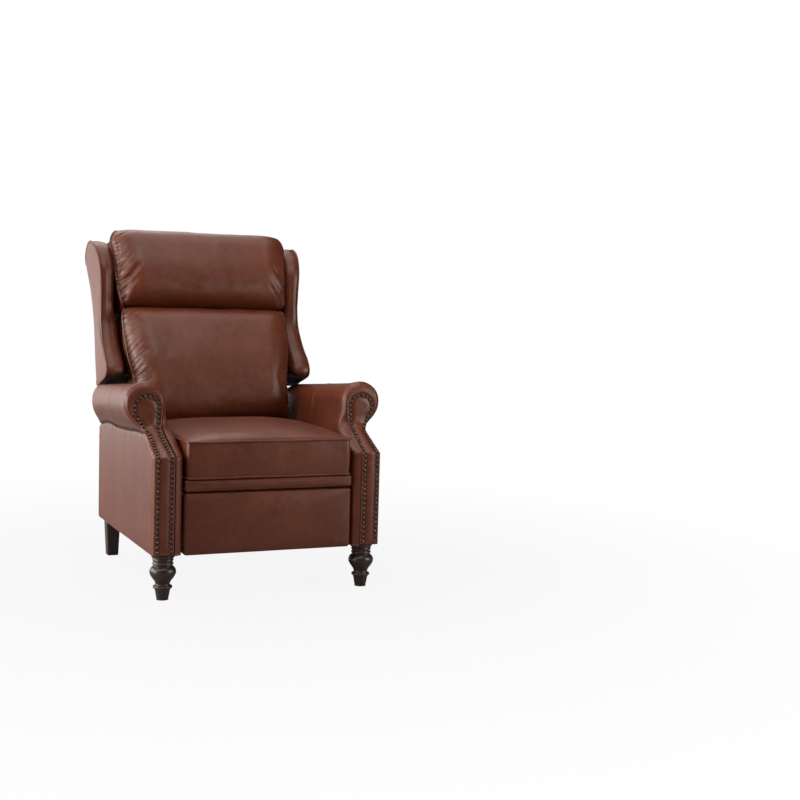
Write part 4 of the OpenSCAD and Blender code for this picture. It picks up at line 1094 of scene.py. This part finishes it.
def seat():
    """The boxed seat cushion, crowned on top, with a piping round its upper and lower edges."""
    outline, way = rounded_box(*SEAT_HALF, SEAT_CORNER, 560)
    rings = seat_rings(outline, way)
    z = rings[..., 2]
    around = np.roll(rings, -1, 1) - np.roll(rings, 1, 1)
    normal = unit(np.cross(around, np.gradient(rings, axis=0)))
    wave = 1.1 * soft_noise(rings, 0.011, 5.0) + 0.5 * soft_noise(rings * [1, 0.5, 1], 0.03, 9.0)
    edge = np.exp(-np.abs(z - SEAT_EDGE) / 4.0) + np.exp(-np.abs(z - SEAT_LOW) / 4.0)
    # Short puckers where the panels meet the piping
    run = np.arange(len(outline)) * (2 * math.pi / len(outline))
    pucker = np.sin(run * 143 + 2.0 * np.sin(run * 31)) * np.exp(-np.abs(z - SEAT_EDGE - 3) / 9.0)
    rings = rings + normal * (wave * (1 - 0.7 * np.clip(edge, 0, 1)) + 0.35 * pucker)[..., None]
    z = rings[..., 2]
    # Painted shade in the creases along the upper and lower piping
    fold = np.clip(0.5 * hill(z, SEAT_EDGE, 2.2) + 0.6 * hill(z, SEAT_LOW, 2.5), 0, 0.6)
    values = [("wear", np.zeros(fold.size)), ("fold", fold.ravel())]
    body = loft_piece("seat_cushion_leather", chair(rings), LEATHER, values, 8)
    place(body, "seat", "padded_leather", "seat_cushion")
    for name, z, r in (("top", SEAT_EDGE, 3.3), ("low", SEAT_LOW + 3.4, 3.1)):
        line = level(outline - way * 1.2, z + 0.5 * np.sin(run * 9 + r))
        line[:, 1] += SEAT_MID_Y
        place(tube_piece(f"seat_piping_{name}", chair(line), r * MM, WELT, True), "seat", "padded_leather")


def slab(half, corner, low_y, high_y, round_front, round_back, mid_z, crown, count=420):
    """Rings of an upright padded slab, from its back face to its crowned front face, in chair measures."""
    outline, way = rounded_box(*half, corner, count)
    edge = [(round_back * (1 - math.sin(a)), high_y - round_back * (1 - math.cos(a))) for a in arc(5)]
    for a in arc(9):
        edge.append((round_front * (1 - math.cos(a)), low_y + crown + round_front * (1 - math.sin(a))))
    made = [level(outline - way * inset, y) for inset, y in edge]
    base = outline - way * round_front
    at_edge = dome(base, half, 3, 0.6)
    steps = 46
    for k in range(1, steps):
        flat = base * (1 - (k / steps) ** 1.6)
        rise = np.maximum(dome(flat, half, 3, 0.6) - at_edge, 0) / np.maximum(1 - at_edge, 0.05)
        made.append(level(flat, low_y + crown * (1 - rise)))
    made = np.array(made)[..., [0, 2, 1]]
    made[..., 2] += mid_z
    return made


def front_band():
    """The padded strip under the seat cushion."""
    half = (SEAT_X + 1.5, (SEAT_LOW - BAND_LOW) / 2 - 1.0)
    rings = slab(half, 7.0, 0.6, BAND_T, 6.0, 1.0, (BAND_LOW + SEAT_LOW) / 2, 3.0)
    body = loft_piece("seat_band_leather", chair(rings), LEATHER, unmarked(rings))
    place(body, "seat", "padded_leather", "seat_front_band")


def footrest():
    """The padded front panel, flat with rolled edges and a low crown."""
    low, high = FOOT_LOW, BAND_LOW - FOOT_GAP
    half = (SEAT_X + 2.0, (high - low) / 2 - 0.3)
    rings = slab(half, 10.0, 0.4, FOOT_T, 8.0, 3.0, (low + high) / 2, 6.0, 620)
    wave = 0.8 * soft_noise(rings, 0.014, 3.0) * smooth((FOOT_T - rings[..., 1]) / 30.0)
    rings[..., 1] += np.where(rings[..., 1] < 20, wave + 0.4, 0)
    body = loft_piece("footrest_leather", chair(rings), LEATHER, unmarked(rings))
    place(body, "footrest", "padded_leather", "footrest_pad")


seat()
front_band()
footrest()


# Back pillows


PILLOW_BACK_V = 10.1
# Half of a pillow's section at its ends and in its middle, as shares of its half height and of its depth
END_SHARES = [
    (0.0, 0.0), (0.6, 0.0), (0.90, 0.02), (0.97, 0.14), (0.985, 0.45), (0.99, 0.72), (0.965, 0.90),
    (0.88, 0.985), (0.7, 1.0), (0.35, 1.0), (0, 1.0),
]
MID_SHARES = [
    (0, 0.0), (0.6, 0.0), (0.88, 0.01), (0.955, 0.10), (0.965, 0.35), (0.985, 0.60), (0.995, 0.73),
    (0.985, 0.83), (0.945, 0.93), (0.87, 1.02), (0.74, 1.09), (0.55, 1.135), (0.3, 1.165), (0, 1.18),
]
# Half widths as shares, foot (-1) to top (1)
HEAD_WIDTHS = [
    (-1, 0.925), (-0.86, 0.968), (-0.6, 0.985), (0.0, 1.01),
    (0.35, 1.03), (0.62, 1.035), (0.85, 1.0), (1, 0.93),
]
LUMBAR_WIDTHS = [
    (-1, 0.885), (-0.35, 0.907), (0.0, 0.943), (0.4, 0.980), (0.7, 0.992), (0.9, 0.965), (1, 0.93),
]
SWELL_FROM, SWELL_TO = 0.73, 1.18
PILLOW_ROUND, GUSSET_SWELL, PIPING_R = 82.0, 6.0, 3.5
GATHERS = 62


def closed_shares(shares):
    """A pillow's section all round, from one half of it."""
    return shares + [(-u, v) for u, v in shares[-2:0:-1]]


def strokes(count, seed, places, angle, length, width, deep):
    """Short folds as (x, u, angle, length, width, depth), strewn along a line of places."""
    at = np.array(places, float)
    t = (np.arange(count) + rand(seed, count, -0.25, 0.25)) / max(count - 1, 1) * (len(at) - 1)
    x = np.interp(t, np.arange(len(at)), at[:, 0])
    u = np.interp(t, np.arange(len(at)), at[:, 1])
    turn = np.radians(rand(seed + 1, count, *angle))
    sizes = [rand(seed + k, count, *limits) for k, limits in ((2, length), (3, width), (4, deep))]
    return np.stack([x, u, turn, *sizes], -1)


def fold_depth(x, u, lines):
    """How far the leather sinks in (positive) or swells between folds at each place."""
    total = np.zeros_like(x)
    for sx, su, turn, length, width, deep in lines:
        way = math.cos(turn), math.sin(turn)
        along = ((x - sx) * way[0] + (u - su) * way[1]) / length
        across = (-(x - sx) * way[1] + (u - su) * way[0]) / width
        fade = np.clip(1 - along, 0, 1) ** 1.3 * smooth((along + 0.08) / 0.12)
        total += deep * fade * (1 - across**2) * np.exp(-(across**2) / 2)
    return total


def pillow_section(half_x, widths, low_u, high_u):
    """A pillow's plain form as places (x, u, v), station by station from its left end to its right."""
    deep = PIPING_V - PILLOW_BACK_V
    half, mid_u = (high_u - low_u) / 2, (high_u + low_u) / 2
    count, stations = 300, 190
    end = curve_through([(u * half * 0.985, v * deep) for u, v in closed_shares(END_SHARES)], count, True)
    swell = lambda v: mix(SWELL_FROM * deep, deep + PILLOW_CROWN, (v - SWELL_FROM) / (SWELL_TO - SWELL_FROM))
    full = [(u * half, v * deep if v < SWELL_FROM else swell(v)) for u, v in closed_shares(MID_SHARES)]
    full = curve_through(full, count, True)
    across = -np.cos(np.linspace(0, math.pi, stations)) * 0.6 + 0.4 * np.linspace(-1, 1, stations)
    shape = curve_through(widths, 60)

    def wide_at(section):
        # Behind the piping the gusset stays clear of the wing
        wide = half_x * np.interp(section[..., 0] / half, shape[:, 0], shape[:, 1])
        return np.minimum(wide, mix(half_x - 3.0, wide, smooth((section[..., 1] - 62) / 34)))

    g = np.minimum((1 - np.abs(across)) * half_x / PILLOW_ROUND, 1)
    g = np.sqrt(np.clip(1 - (1 - g) ** 2, 0, 1))[:, None, None]
    section = end[None] * (1 - g) + full[None] * g
    wide = wide_at(section)
    flat = np.stack([across[:, None] * wide, mid_u + section[..., 0], PILLOW_BACK_V + section[..., 1]], -1)
    edge = np.stack([wide_at(end), mid_u + end[:, 0] * 1.008, PILLOW_BACK_V + end[:, 1] * 1.016], -1)
    return flat, (1 - np.abs(across))[:, None] * wide, edge


def gusset_caps(ring):
    """Rings that close a pillow's end, which swells towards the wing above the arm."""
    middle = ring.mean(0)
    caps = []
    for f in (0.94, 0.84, 0.7, 0.54, 0.38, 0.2):
        cap = mix(middle, ring, f)
        cap[:, 0] += np.sign(ring[0, 0]) * GUSSET_SWELL * (1 - f * f) * smooth((cap[:, 1] - 285) / 50.0)
        caps.append(cap)
    return caps


def pillow(name, node, half_x, widths, low_u, high_u, lines, seed):
    """A pillow of one wrapped panel with piped gussets at both ends, gathered along the piping."""
    flat, near, edge = pillow_section(half_x, widths, low_u, high_u)
    x, u, v = flat[..., 0], flat[..., 1], flat[..., 2]
    around = np.roll(flat, -1, 1) - np.roll(flat, 1, 1)
    normal = unit(np.cross(around, np.gradient(flat, axis=0)))
    middle = len(flat) // 2
    if (normal[middle, :, 2] * (flat[middle, :, 2] - v.mean())).sum() < 0:
        normal = -normal
    front = smooth((v - 60) / 40.0)
    dent = fold_depth(x, u, lines) * front
    wave = 1.5 * soft_noise(flat, 0.010, seed) + 0.6 * soft_noise(flat, 0.028, seed + 4)
    # Small even gathers right at the piping
    order = np.arange(flat.shape[1])
    gather = np.sin(order * (2 * math.pi / len(order)) * GATHERS + 1.5 * np.sin(order * 0.12))[None]
    gather = 0.7 * gather * np.exp(-near / 16) * front
    flat = flat + normal * (wave * np.minimum(near / 60, 1) - dent - gather)[..., None]
    # Painted shade in the dents of the folds and in the crease along the piping, and a little paler on the
    # swells between folds
    fold = np.clip(dent / 3.4, 0, 1) * 0.30 + 0.85 * hill(near, 0, 3.4) * front
    wear = np.clip(-dent / 1.6, 0, 1) * 0.05
    loose = smooth(near / 40.0) * (0.15 + 0.85 * hill(near, 0, 110.0)) * front
    first, last = gusset_caps(flat[0]), gusset_caps(flat[-1])
    flat = np.concatenate([np.array(first[::-1]), flat, np.array(last)])
    pad = lambda values: np.pad(values, ((len(first), len(last)), (0, 0))).ravel()
    values = [("wear", pad(wear)), ("fold", pad(np.clip(fold, 0, 0.85))), ("loose", pad(loose))]
    body = loft_piece(name, back(flat), LEATHER, values, 3)
    settle(body)
    place(body, "back", "padded_leather", node)
    for side, s in SIDES:
        line = edge * [s, 1, 1]
        line[:, 0] += (1.4 * np.sin(order * 0.13 + seed) - 0.8) * s
        piping = tube_piece(f"{name}_piping_{side}", back(line), PIPING_R * MM, WELT, True)
        place(piping, "back", "padded_leather")


def mirrored(lines):
    out = lines.copy()
    out[:, 0] *= -1
    out[:, 2] = math.pi - out[:, 2]
    return out


# Folds along the left edge and, mirrored, along the right edge: count, seed, places, and then the
# limits of angle, length, width and depth
LUMBAR_EDGE = [(-252, 120), (-262, 250), (-272, 350), (-276, 452)]
LUMBAR_FOLDS = np.vstack([
    strokes(19, 11, LUMBAR_EDGE, (28, 46), (38, 74), (4.2, 5.6), (2.0, 3.4)),
    mirrored(strokes(19, 71, LUMBAR_EDGE, (28, 48), (36, 70), (4.2, 5.4), (1.6, 3.0))),
])
HEAD_FOLDS = np.vstack([
    strokes(13, 31, [(-278, 512), (-281, 600), (-283, 690)], (22, 50), (34, 66), (4.4, 6.0), (2.0, 3.4)),
    strokes(5, 51, [(-268, 486), (-281, 530)], (38, 74), (70, 105), (7.0, 9.0), (3.4, 5.0)),
    mirrored(strokes(7, 91, [(-276, 506), (-281, 600)], (26, 56), (34, 60), (4.4, 6.0), (1.4, 2.6))),
    mirrored(strokes(6, 95, [(-262, 484), (-281, 540)], (40, 80), (70, 110), (7.0, 9.5), (3.2, 5.0))),
])
LUMBAR_SIZE = (LUMBAR_TOP_X + 2, LUMBAR_WIDTHS, LUMBAR_LOW_U + 0.5, CREASE_U - 0.6)
HEAD_SIZE = (HEAD_X + 1, HEAD_WIDTHS, CREASE_U + 0.6, HEAD_TOP_U - 0.5)
pillow("lumbar_pillow_leather", "lumbar_pillow", *LUMBAR_SIZE, LUMBAR_FOLDS, 2.0)
pillow("head_pillow_leather", "head_pillow", *HEAD_SIZE, HEAD_FOLDS, 6.0)


# Wings and outer back


# The wing's outline as shares of its height and depth: up the front, over the top, down the rear
WING_SHARES = [
    (0.005, 0.30), (-0.005, 0.62), (-0.005, 0.85), (0.03, 0.93), (0.10, 0.89), (0.22, 0.73), (0.375, 0.64),
    (0.50, 0.71), (0.60, 0.84), (0.74, 0.99), (0.84, 0.97), (0.92, 0.86), (0.98, 0.66), (1, 0.45),
    (0.985, 0.22), (0.95, 0.06), (0.88, 0), (0.66, 0), (0.44, 0), (0.22, 0), (0.05, 0.01), (0.005, 0.06),
]
WING_DEPTH = WING_LOBE + BACK_REAR_V
WING_WAIST, WING_SWELL, WING_ROLL, WING_EASE = 11.0, 9.0, 25.0, 5.0
# The dust cloth under a wing's foot: corners (x, v) and how far each sags
FOOT_CLOTH = (
    (259, -14, 1.0), (WING_OUT - 6, -14, 1.0), (WING_OUT - 6, 40, 4.0),
    (WING_OUT - 8, 104, 12.0), (264, 104, 12.0), (259, 40, 4.0),
)


def wing_outline(count):
    """The wing's outline as (v, u), from its foot up the front edge, over the top and down the rear."""
    places = [(deep * WING_DEPTH - BACK_REAR_V, mix(WING_LOW, WING_TOP, high)) for high, deep in WING_SHARES]
    return curve_through(places, count, True)


def outward(line):
    """Outward directions along a closed flat line."""
    step = np.roll(line, -1, 0) - np.roll(line, 1, 0)
    step /= np.linalg.norm(step, axis=1)[:, None]
    way = np.stack([step[:, 1], -step[:, 0]], -1)
    area = np.sum(line[:, 0] * np.roll(line[:, 1], -1) - np.roll(line[:, 0], -1) * line[:, 1])
    return way if area > 0 else -way


def wing_out_x(share):
    """How far out the wing's outer face stands: it flares to the top and is drawn in at its waist."""
    return WING_OUT + WING_FLARE * share - WING_WAIST * np.sin(math.pi * np.clip(share, 0, 1) ** 1.27) ** 1.4


def wing_in_x(u, v):
    """Where the wing's inner face lies: below the head pillow it swells against the lumbar pillow."""
    return WING_IN + 0.5 - WING_SWELL * smooth((CREASE_U + 10 - u) / 80.0) * smooth((v - 5) / 40.0)


def wing(side, s):
    """A padded board: flat outside with a piped edge, rolled full on the inside and front."""
    count, r = 420, WING_EASE
    line = wing_outline(count)
    way = outward(line)
    share = (line[:, 1] - WING_LOW) / (WING_TOP - WING_LOW)
    out_x = wing_out_x(share)
    in_x = wing_in_x(line[:, 1], line[:, 0] - 12)
    # Layers from the inner face outwards, as (inset, x), round the front roll to the piped edge
    layers = [(WING_ROLL * (1 - math.sin(a)), in_x + WING_ROLL * (1 - math.cos(a)) * 0.9) for a in arc(16, 8)]
    for t in (0.2, 0.4, 0.6, 0.8):
        layers.append((-2.4 * math.sin(math.pi * t), mix(in_x + 0.9 * WING_ROLL, out_x - r, t)))
    layers += [(r * (1 - math.cos(a)), out_x - r + r * math.sin(a)) for a in arc(6)]
    ring = lambda x, places: np.stack([s * x, places[:, 1], places[:, 0]], -1)
    rings = [ring(x, line - way * inset) for inset, x in layers]
    # The outer face is closed inwards with a slight crown, and the inner face lies flat
    base = line - way * r
    for k in range(1, 26):
        f = 1 - (k / 26) ** 1.3
        flat = mix(base.mean(0), base, f)
        x = wing_out_x((flat[:, 1] - WING_LOW) / (WING_TOP - WING_LOW))
        rings.append(ring(x + 2.0 * (1 - f * f) - 1.8 * math.exp(-(1 - f) * 60), flat))
    base = line - way * layers[0][0]
    inner = []
    for k in range(1, 22):
        f = 1 - (k / 22) ** 1.2
        flat = mix(base.mean(0), base, f)
        inner.append(ring(wing_in_x(flat[:, 1], flat[:, 0]) + 0.2 * f, flat))
    rings = np.array(inner[::-1] + rings)
    wave = 1.1 * soft_noise(rings, 0.013, 12.0 + s)
    rings += wave[..., None] * [s * 0.8, 0, 0.5]
    piece = loft_piece(f"wing_leather_{side}", back(rings), LEATHER, unmarked(rings), 2)
    place(piece, "back", "padded_leather", f"wing_{side}")
    # Piping runs round the outer edge, from the foot's front over the top
    keep = (line[:, 0] > -BACK_REAR_V + 1.5) | (share > 0.90)
    first = int(np.argmax(keep & ~np.roll(keep, 1)))
    order = np.roll(np.arange(count), -first)[: int(keep.sum())]
    path = ring(out_x - 2.4, line + way * 0.6)[order]
    place(tube_piece(f"wing_piping_{side}", back(path), 3.0 * MM, WELT), "back", "padded_leather")
    # Black dust cloth closes the wing's foot and sags a little
    plate = [[(s * x, WING_LOW + 3, v) for x, v, _ in FOOT_CLOTH]]
    plate.append([(s * x, WING_LOW - sag, v) for x, v, sag in FOOT_CLOTH])
    piece = loft_piece(f"wing_dust_cloth_{side}", back(plate), DUST_CLOTH, cap_rings=3)
    place(piece, "back", "padded_leather")


def board(name, outline, low, high, ease, crown, to_place):
    """A flat padded panel with eased edges between two depths: outline and caps in one closed mesh."""
    line = np.array(outline)
    way = outward(line)
    edge = [(ease * (1 - math.sin(a)), low + ease * (1 - math.cos(a))) for a in arc(5)]
    edge += [(ease * (1 - math.cos(a)), high - ease * (1 - math.sin(a))) for a in arc(5)]
    made = [level(line - way * inset, depth) for inset, depth in edge]
    before = []
    for k in range(1, 30):
        f = 1 - (k / 30) ** 1.3
        flat = mix(line.mean(0), line - way * ease, f)
        made.append(level(flat, high + crown * (1 - f**3)))
        before.append(level(flat, low))
    made = np.array(before[::-1] + made)
    return loft_piece(name, to_place(made), LEATHER, unmarked(made), 2)


def dense(corners, step):
    """A closed line through corners, cut into short even steps."""
    points = []
    for (ax, ay), (bx, by) in zip(corners, corners[1:] + corners[:1]):
        n = max(2, round(math.hypot(bx - ax, by - ay) / step))
        points += [(mix(ax, bx, k / n), mix(ay, by, k / n)) for k in range(n)]
    return points


UPRIGHT_X, UPRIGHT_LOW, LINK_R = 234.5, 16.0, 10.0
LOW_CLEAR_U, BACK_LOW_X = 45.0, 246.0
REAR_COVER_Z, REAR_COVER_X = 302.8, 261.7


def outer_back():
    """The flat outer back with a welt round it, and the cover below it between the arms."""
    low_x, wide_x = BACK_LOW_X - 0.5, WING_IN - 1.5
    half = [
        (UPRIGHT_X - 0.5, UPRIGHT_LOW + 0.5), (UPRIGHT_X - 0.5, LOW_CLEAR_U), (low_x, LOW_CLEAR_U + 6),
        (low_x, WING_LOW + LINK_R - 2), (wide_x, WING_LOW + LINK_R + 4), (wide_x, BACK_TOP - 8),
        (WING_IN - 8, BACK_TOP - 1),
    ]
    line = dense(half + [(-x, u) for x, u in half[::-1]], 4.0)
    to_back = lambda p: back(p * [1, 1, -1])
    low, high = BACK_REAR_V - COVER_T, BACK_REAR_V - 2.2
    panel = board("outer_back_leather", line, low, high, 2.2, 2.0, to_back)
    place(panel, "back", "leather", "outer_back_panel")
    path = level(np.array(line) - outward(np.array(line)) * 2.5, 2.4 - BACK_REAR_V)
    place(tube_piece("outer_back_welt", back(path), 2.5 * MM, WELT, True), "back", "leather")
    x, low_z, high_z = REAR_COVER_X - 0.4, LEG_H + 0.5, REAR_COVER_Z - 0.4
    line = dense([(x, low_z), (x, high_z), (-x, high_z), (-x, low_z)], 5.0)
    to_chair = lambda p: chair(p[..., [0, 2, 1]])
    low, high = ARM_L - COVER_T, ARM_L - 1.6
    cover = board("rear_cover_leather", line, low, high, 2.0, 1.6, to_chair)
    place(cover, "base", "leather", "rear_cover")


for side, s in SIDES:
    wing(side, s)
outer_back()


# Frame and mechanism under the leather keep their own shapes


STEEL = (
    "base_bracket", "swing_links", "side_plate", "drive_links", "carrier", "guide", "torque", "tie",
    "brackets",
)
for name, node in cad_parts.items():
    kind = FRAME_WOOD
    if "springs" in name:
        kind = SPRING_STEEL
    elif "bolts" in name:
        kind = BOLT_STEEL
    elif any(word in name for word in STEEL):
        kind = LINK_STEEL
    node.data.materials.clear()
    node.data.materials.append(kind)


# Studio


def seen_by_camera(tree):
    """1 where the camera looks straight at a surface, 0 for light and reflections."""
    return tree.nodes.new("ShaderNodeLightPath").outputs["Is Camera Ray"]


def floor():
    """A pale floor that the camera sees as the white backdrop, with the chair's soft shadow near its feet."""
    mesh = bpy.data.meshes.new("floor")
    mesh.from_pydata([(-30, -30, 0), (30, -30, 0), (30, 30, 0), (-30, 30, 0)], [], [(0, 1, 2, 3)])
    made, tree, shader, coords = start_material("studio_floor")
    shader.inputs["Base Color"].default_value = (FLOOR_TONE, FLOOR_TONE, FLOOR_TONE, 1)
    shader.inputs["Roughness"].default_value = 0.9
    glow = add_node(tree, "ShaderNodeEmission", Color=(1, 1, 1, 1), Strength=1.0)
    far = add_node(tree, "ShaderNodeVectorMath", [(coords, 0)], operation="LENGTH")
    fade = add_node(tree, "ShaderNodeMapRange", [(far.outputs["Value"], "Value")])
    for key, value in (("From Min", 0.7), ("From Max", 2.2), ("To Min", FLOOR_WHITE), ("To Max", 1.0)):
        fade.inputs[key].default_value = value
    factors = [(seen_by_camera(tree), 0), (fade.outputs["Result"], 1)]
    share = add_node(tree, "ShaderNodeMath", factors, operation="MULTIPLY").outputs[0]
    both = add_node(tree, "ShaderNodeMixShader", [(share, 0), (shader.outputs[0], 1), (glow.outputs[0], 2)])
    tree.links.new(both.outputs[0], tree.nodes["Material Output"].inputs["Surface"])
    mesh.materials.append(made)
    link(mesh, "studio_floor")


def backdrop():
    """White to the camera, softer grey to everything that reflects it."""
    world = bpy.data.worlds.new("studio")
    world.use_nodes = True
    bpy.context.scene.world = world
    tree = world.node_tree
    tree.nodes.clear()
    seen = add_node(tree, "ShaderNodeBackground", Color=(1, 1, 1, 1), Strength=1.0).outputs[0]
    fill = add_node(tree, "ShaderNodeBackground", Color=(1, 1, 1, 1), Strength=WORLD_FILL).outputs[0]
    both = add_node(tree, "ShaderNodeMixShader", [(seen_by_camera(tree), 0), (fill, 1), (seen, 2)])
    add_node(tree, "ShaderNodeOutputWorld", [(both.outputs[0], "Surface")])


def area_light(name, place_at, size, power):
    """A white lamp that looks at the chair's middle."""
    data = bpy.data.lights.new(name, "AREA")
    data.shape = "RECTANGLE"
    data.size, data.size_y = size
    data.energy = power
    lamp = link(data, name)
    lamp.location = place_at
    lamp.visible_camera = False
    lamp.rotation_euler = (MIDDLE - Vector(place_at)).to_track_quat("-Z", "Y").to_euler()


FLOOR_WHITE, FLOOR_TONE, WORLD_FILL = 0.90, 0.30, 0.04
MIDDLE = Vector((0, 0, 0.6))
# Lamps: name, place, width and height in metres, power in watts
LAMPS = (
    ("left_low", (-4.2, -0.3, 1.0), (2.0, 1.2), 112),
    ("left_back", (-3.8, 2.2, 1.6), (2.5, 2.0), 112),
    ("low_card", (-1.4, 3.4, 0.8), (2.6, 1.6), 16),
    ("over_left", (-2.6, -0.4, 3.0), (2.0, 2.0), 28),
    ("overhead", (0.2, 0.3, 3.3), (2.0, 2.0), 25),
    ("over_back", (-0.2, 2.2, 3.0), (2.6, 1.6), 38),
    ("front_high_left", (-2.0, -2.0, 3.0), (1.6, 1.6), 11),
    ("front_high", (0.0, -1.4, 2.8), (1.4, 1.0), 16),
    ("right_near", (2.0, -2.0, 1.0), (1.2, 1.2), 33),
)
floor()
backdrop()
for lamp in LAMPS:
    area_light(*lamp)


# Camera


EYE = Vector((-1.2624, -3.9877, 0.8674))
YAW, PITCH, ROLL = 0.439, 0.079, 0.03
FOCAL_PX, PICTURE_PX, SENSOR = 1322.07, 800.0, 36.0


def camera():
    ahead = Vector((math.sin(YAW) * math.cos(PITCH), math.cos(YAW) * math.cos(PITCH), -math.sin(PITCH)))
    right = Vector((math.cos(YAW), -math.sin(YAW), 0))
    up = right.cross(ahead)
    across = right * math.cos(ROLL) + up * math.sin(ROLL)
    above = up * math.cos(ROLL) - right * math.sin(ROLL)
    data = bpy.data.cameras.new("camera")
    data.sensor_width = SENSOR
    data.lens = FOCAL_PX / PICTURE_PX * SENSOR
    data.clip_end = 100.0
    made = link(data, "camera")
    turn = Matrix((across, above, -ahead)).transposed().to_4x4()
    made.matrix_world = Matrix.Translation(EYE) @ turn
    bpy.context.scene.camera = made


camera()
bpy.context.scene.view_settings.view_transform = "Standard"
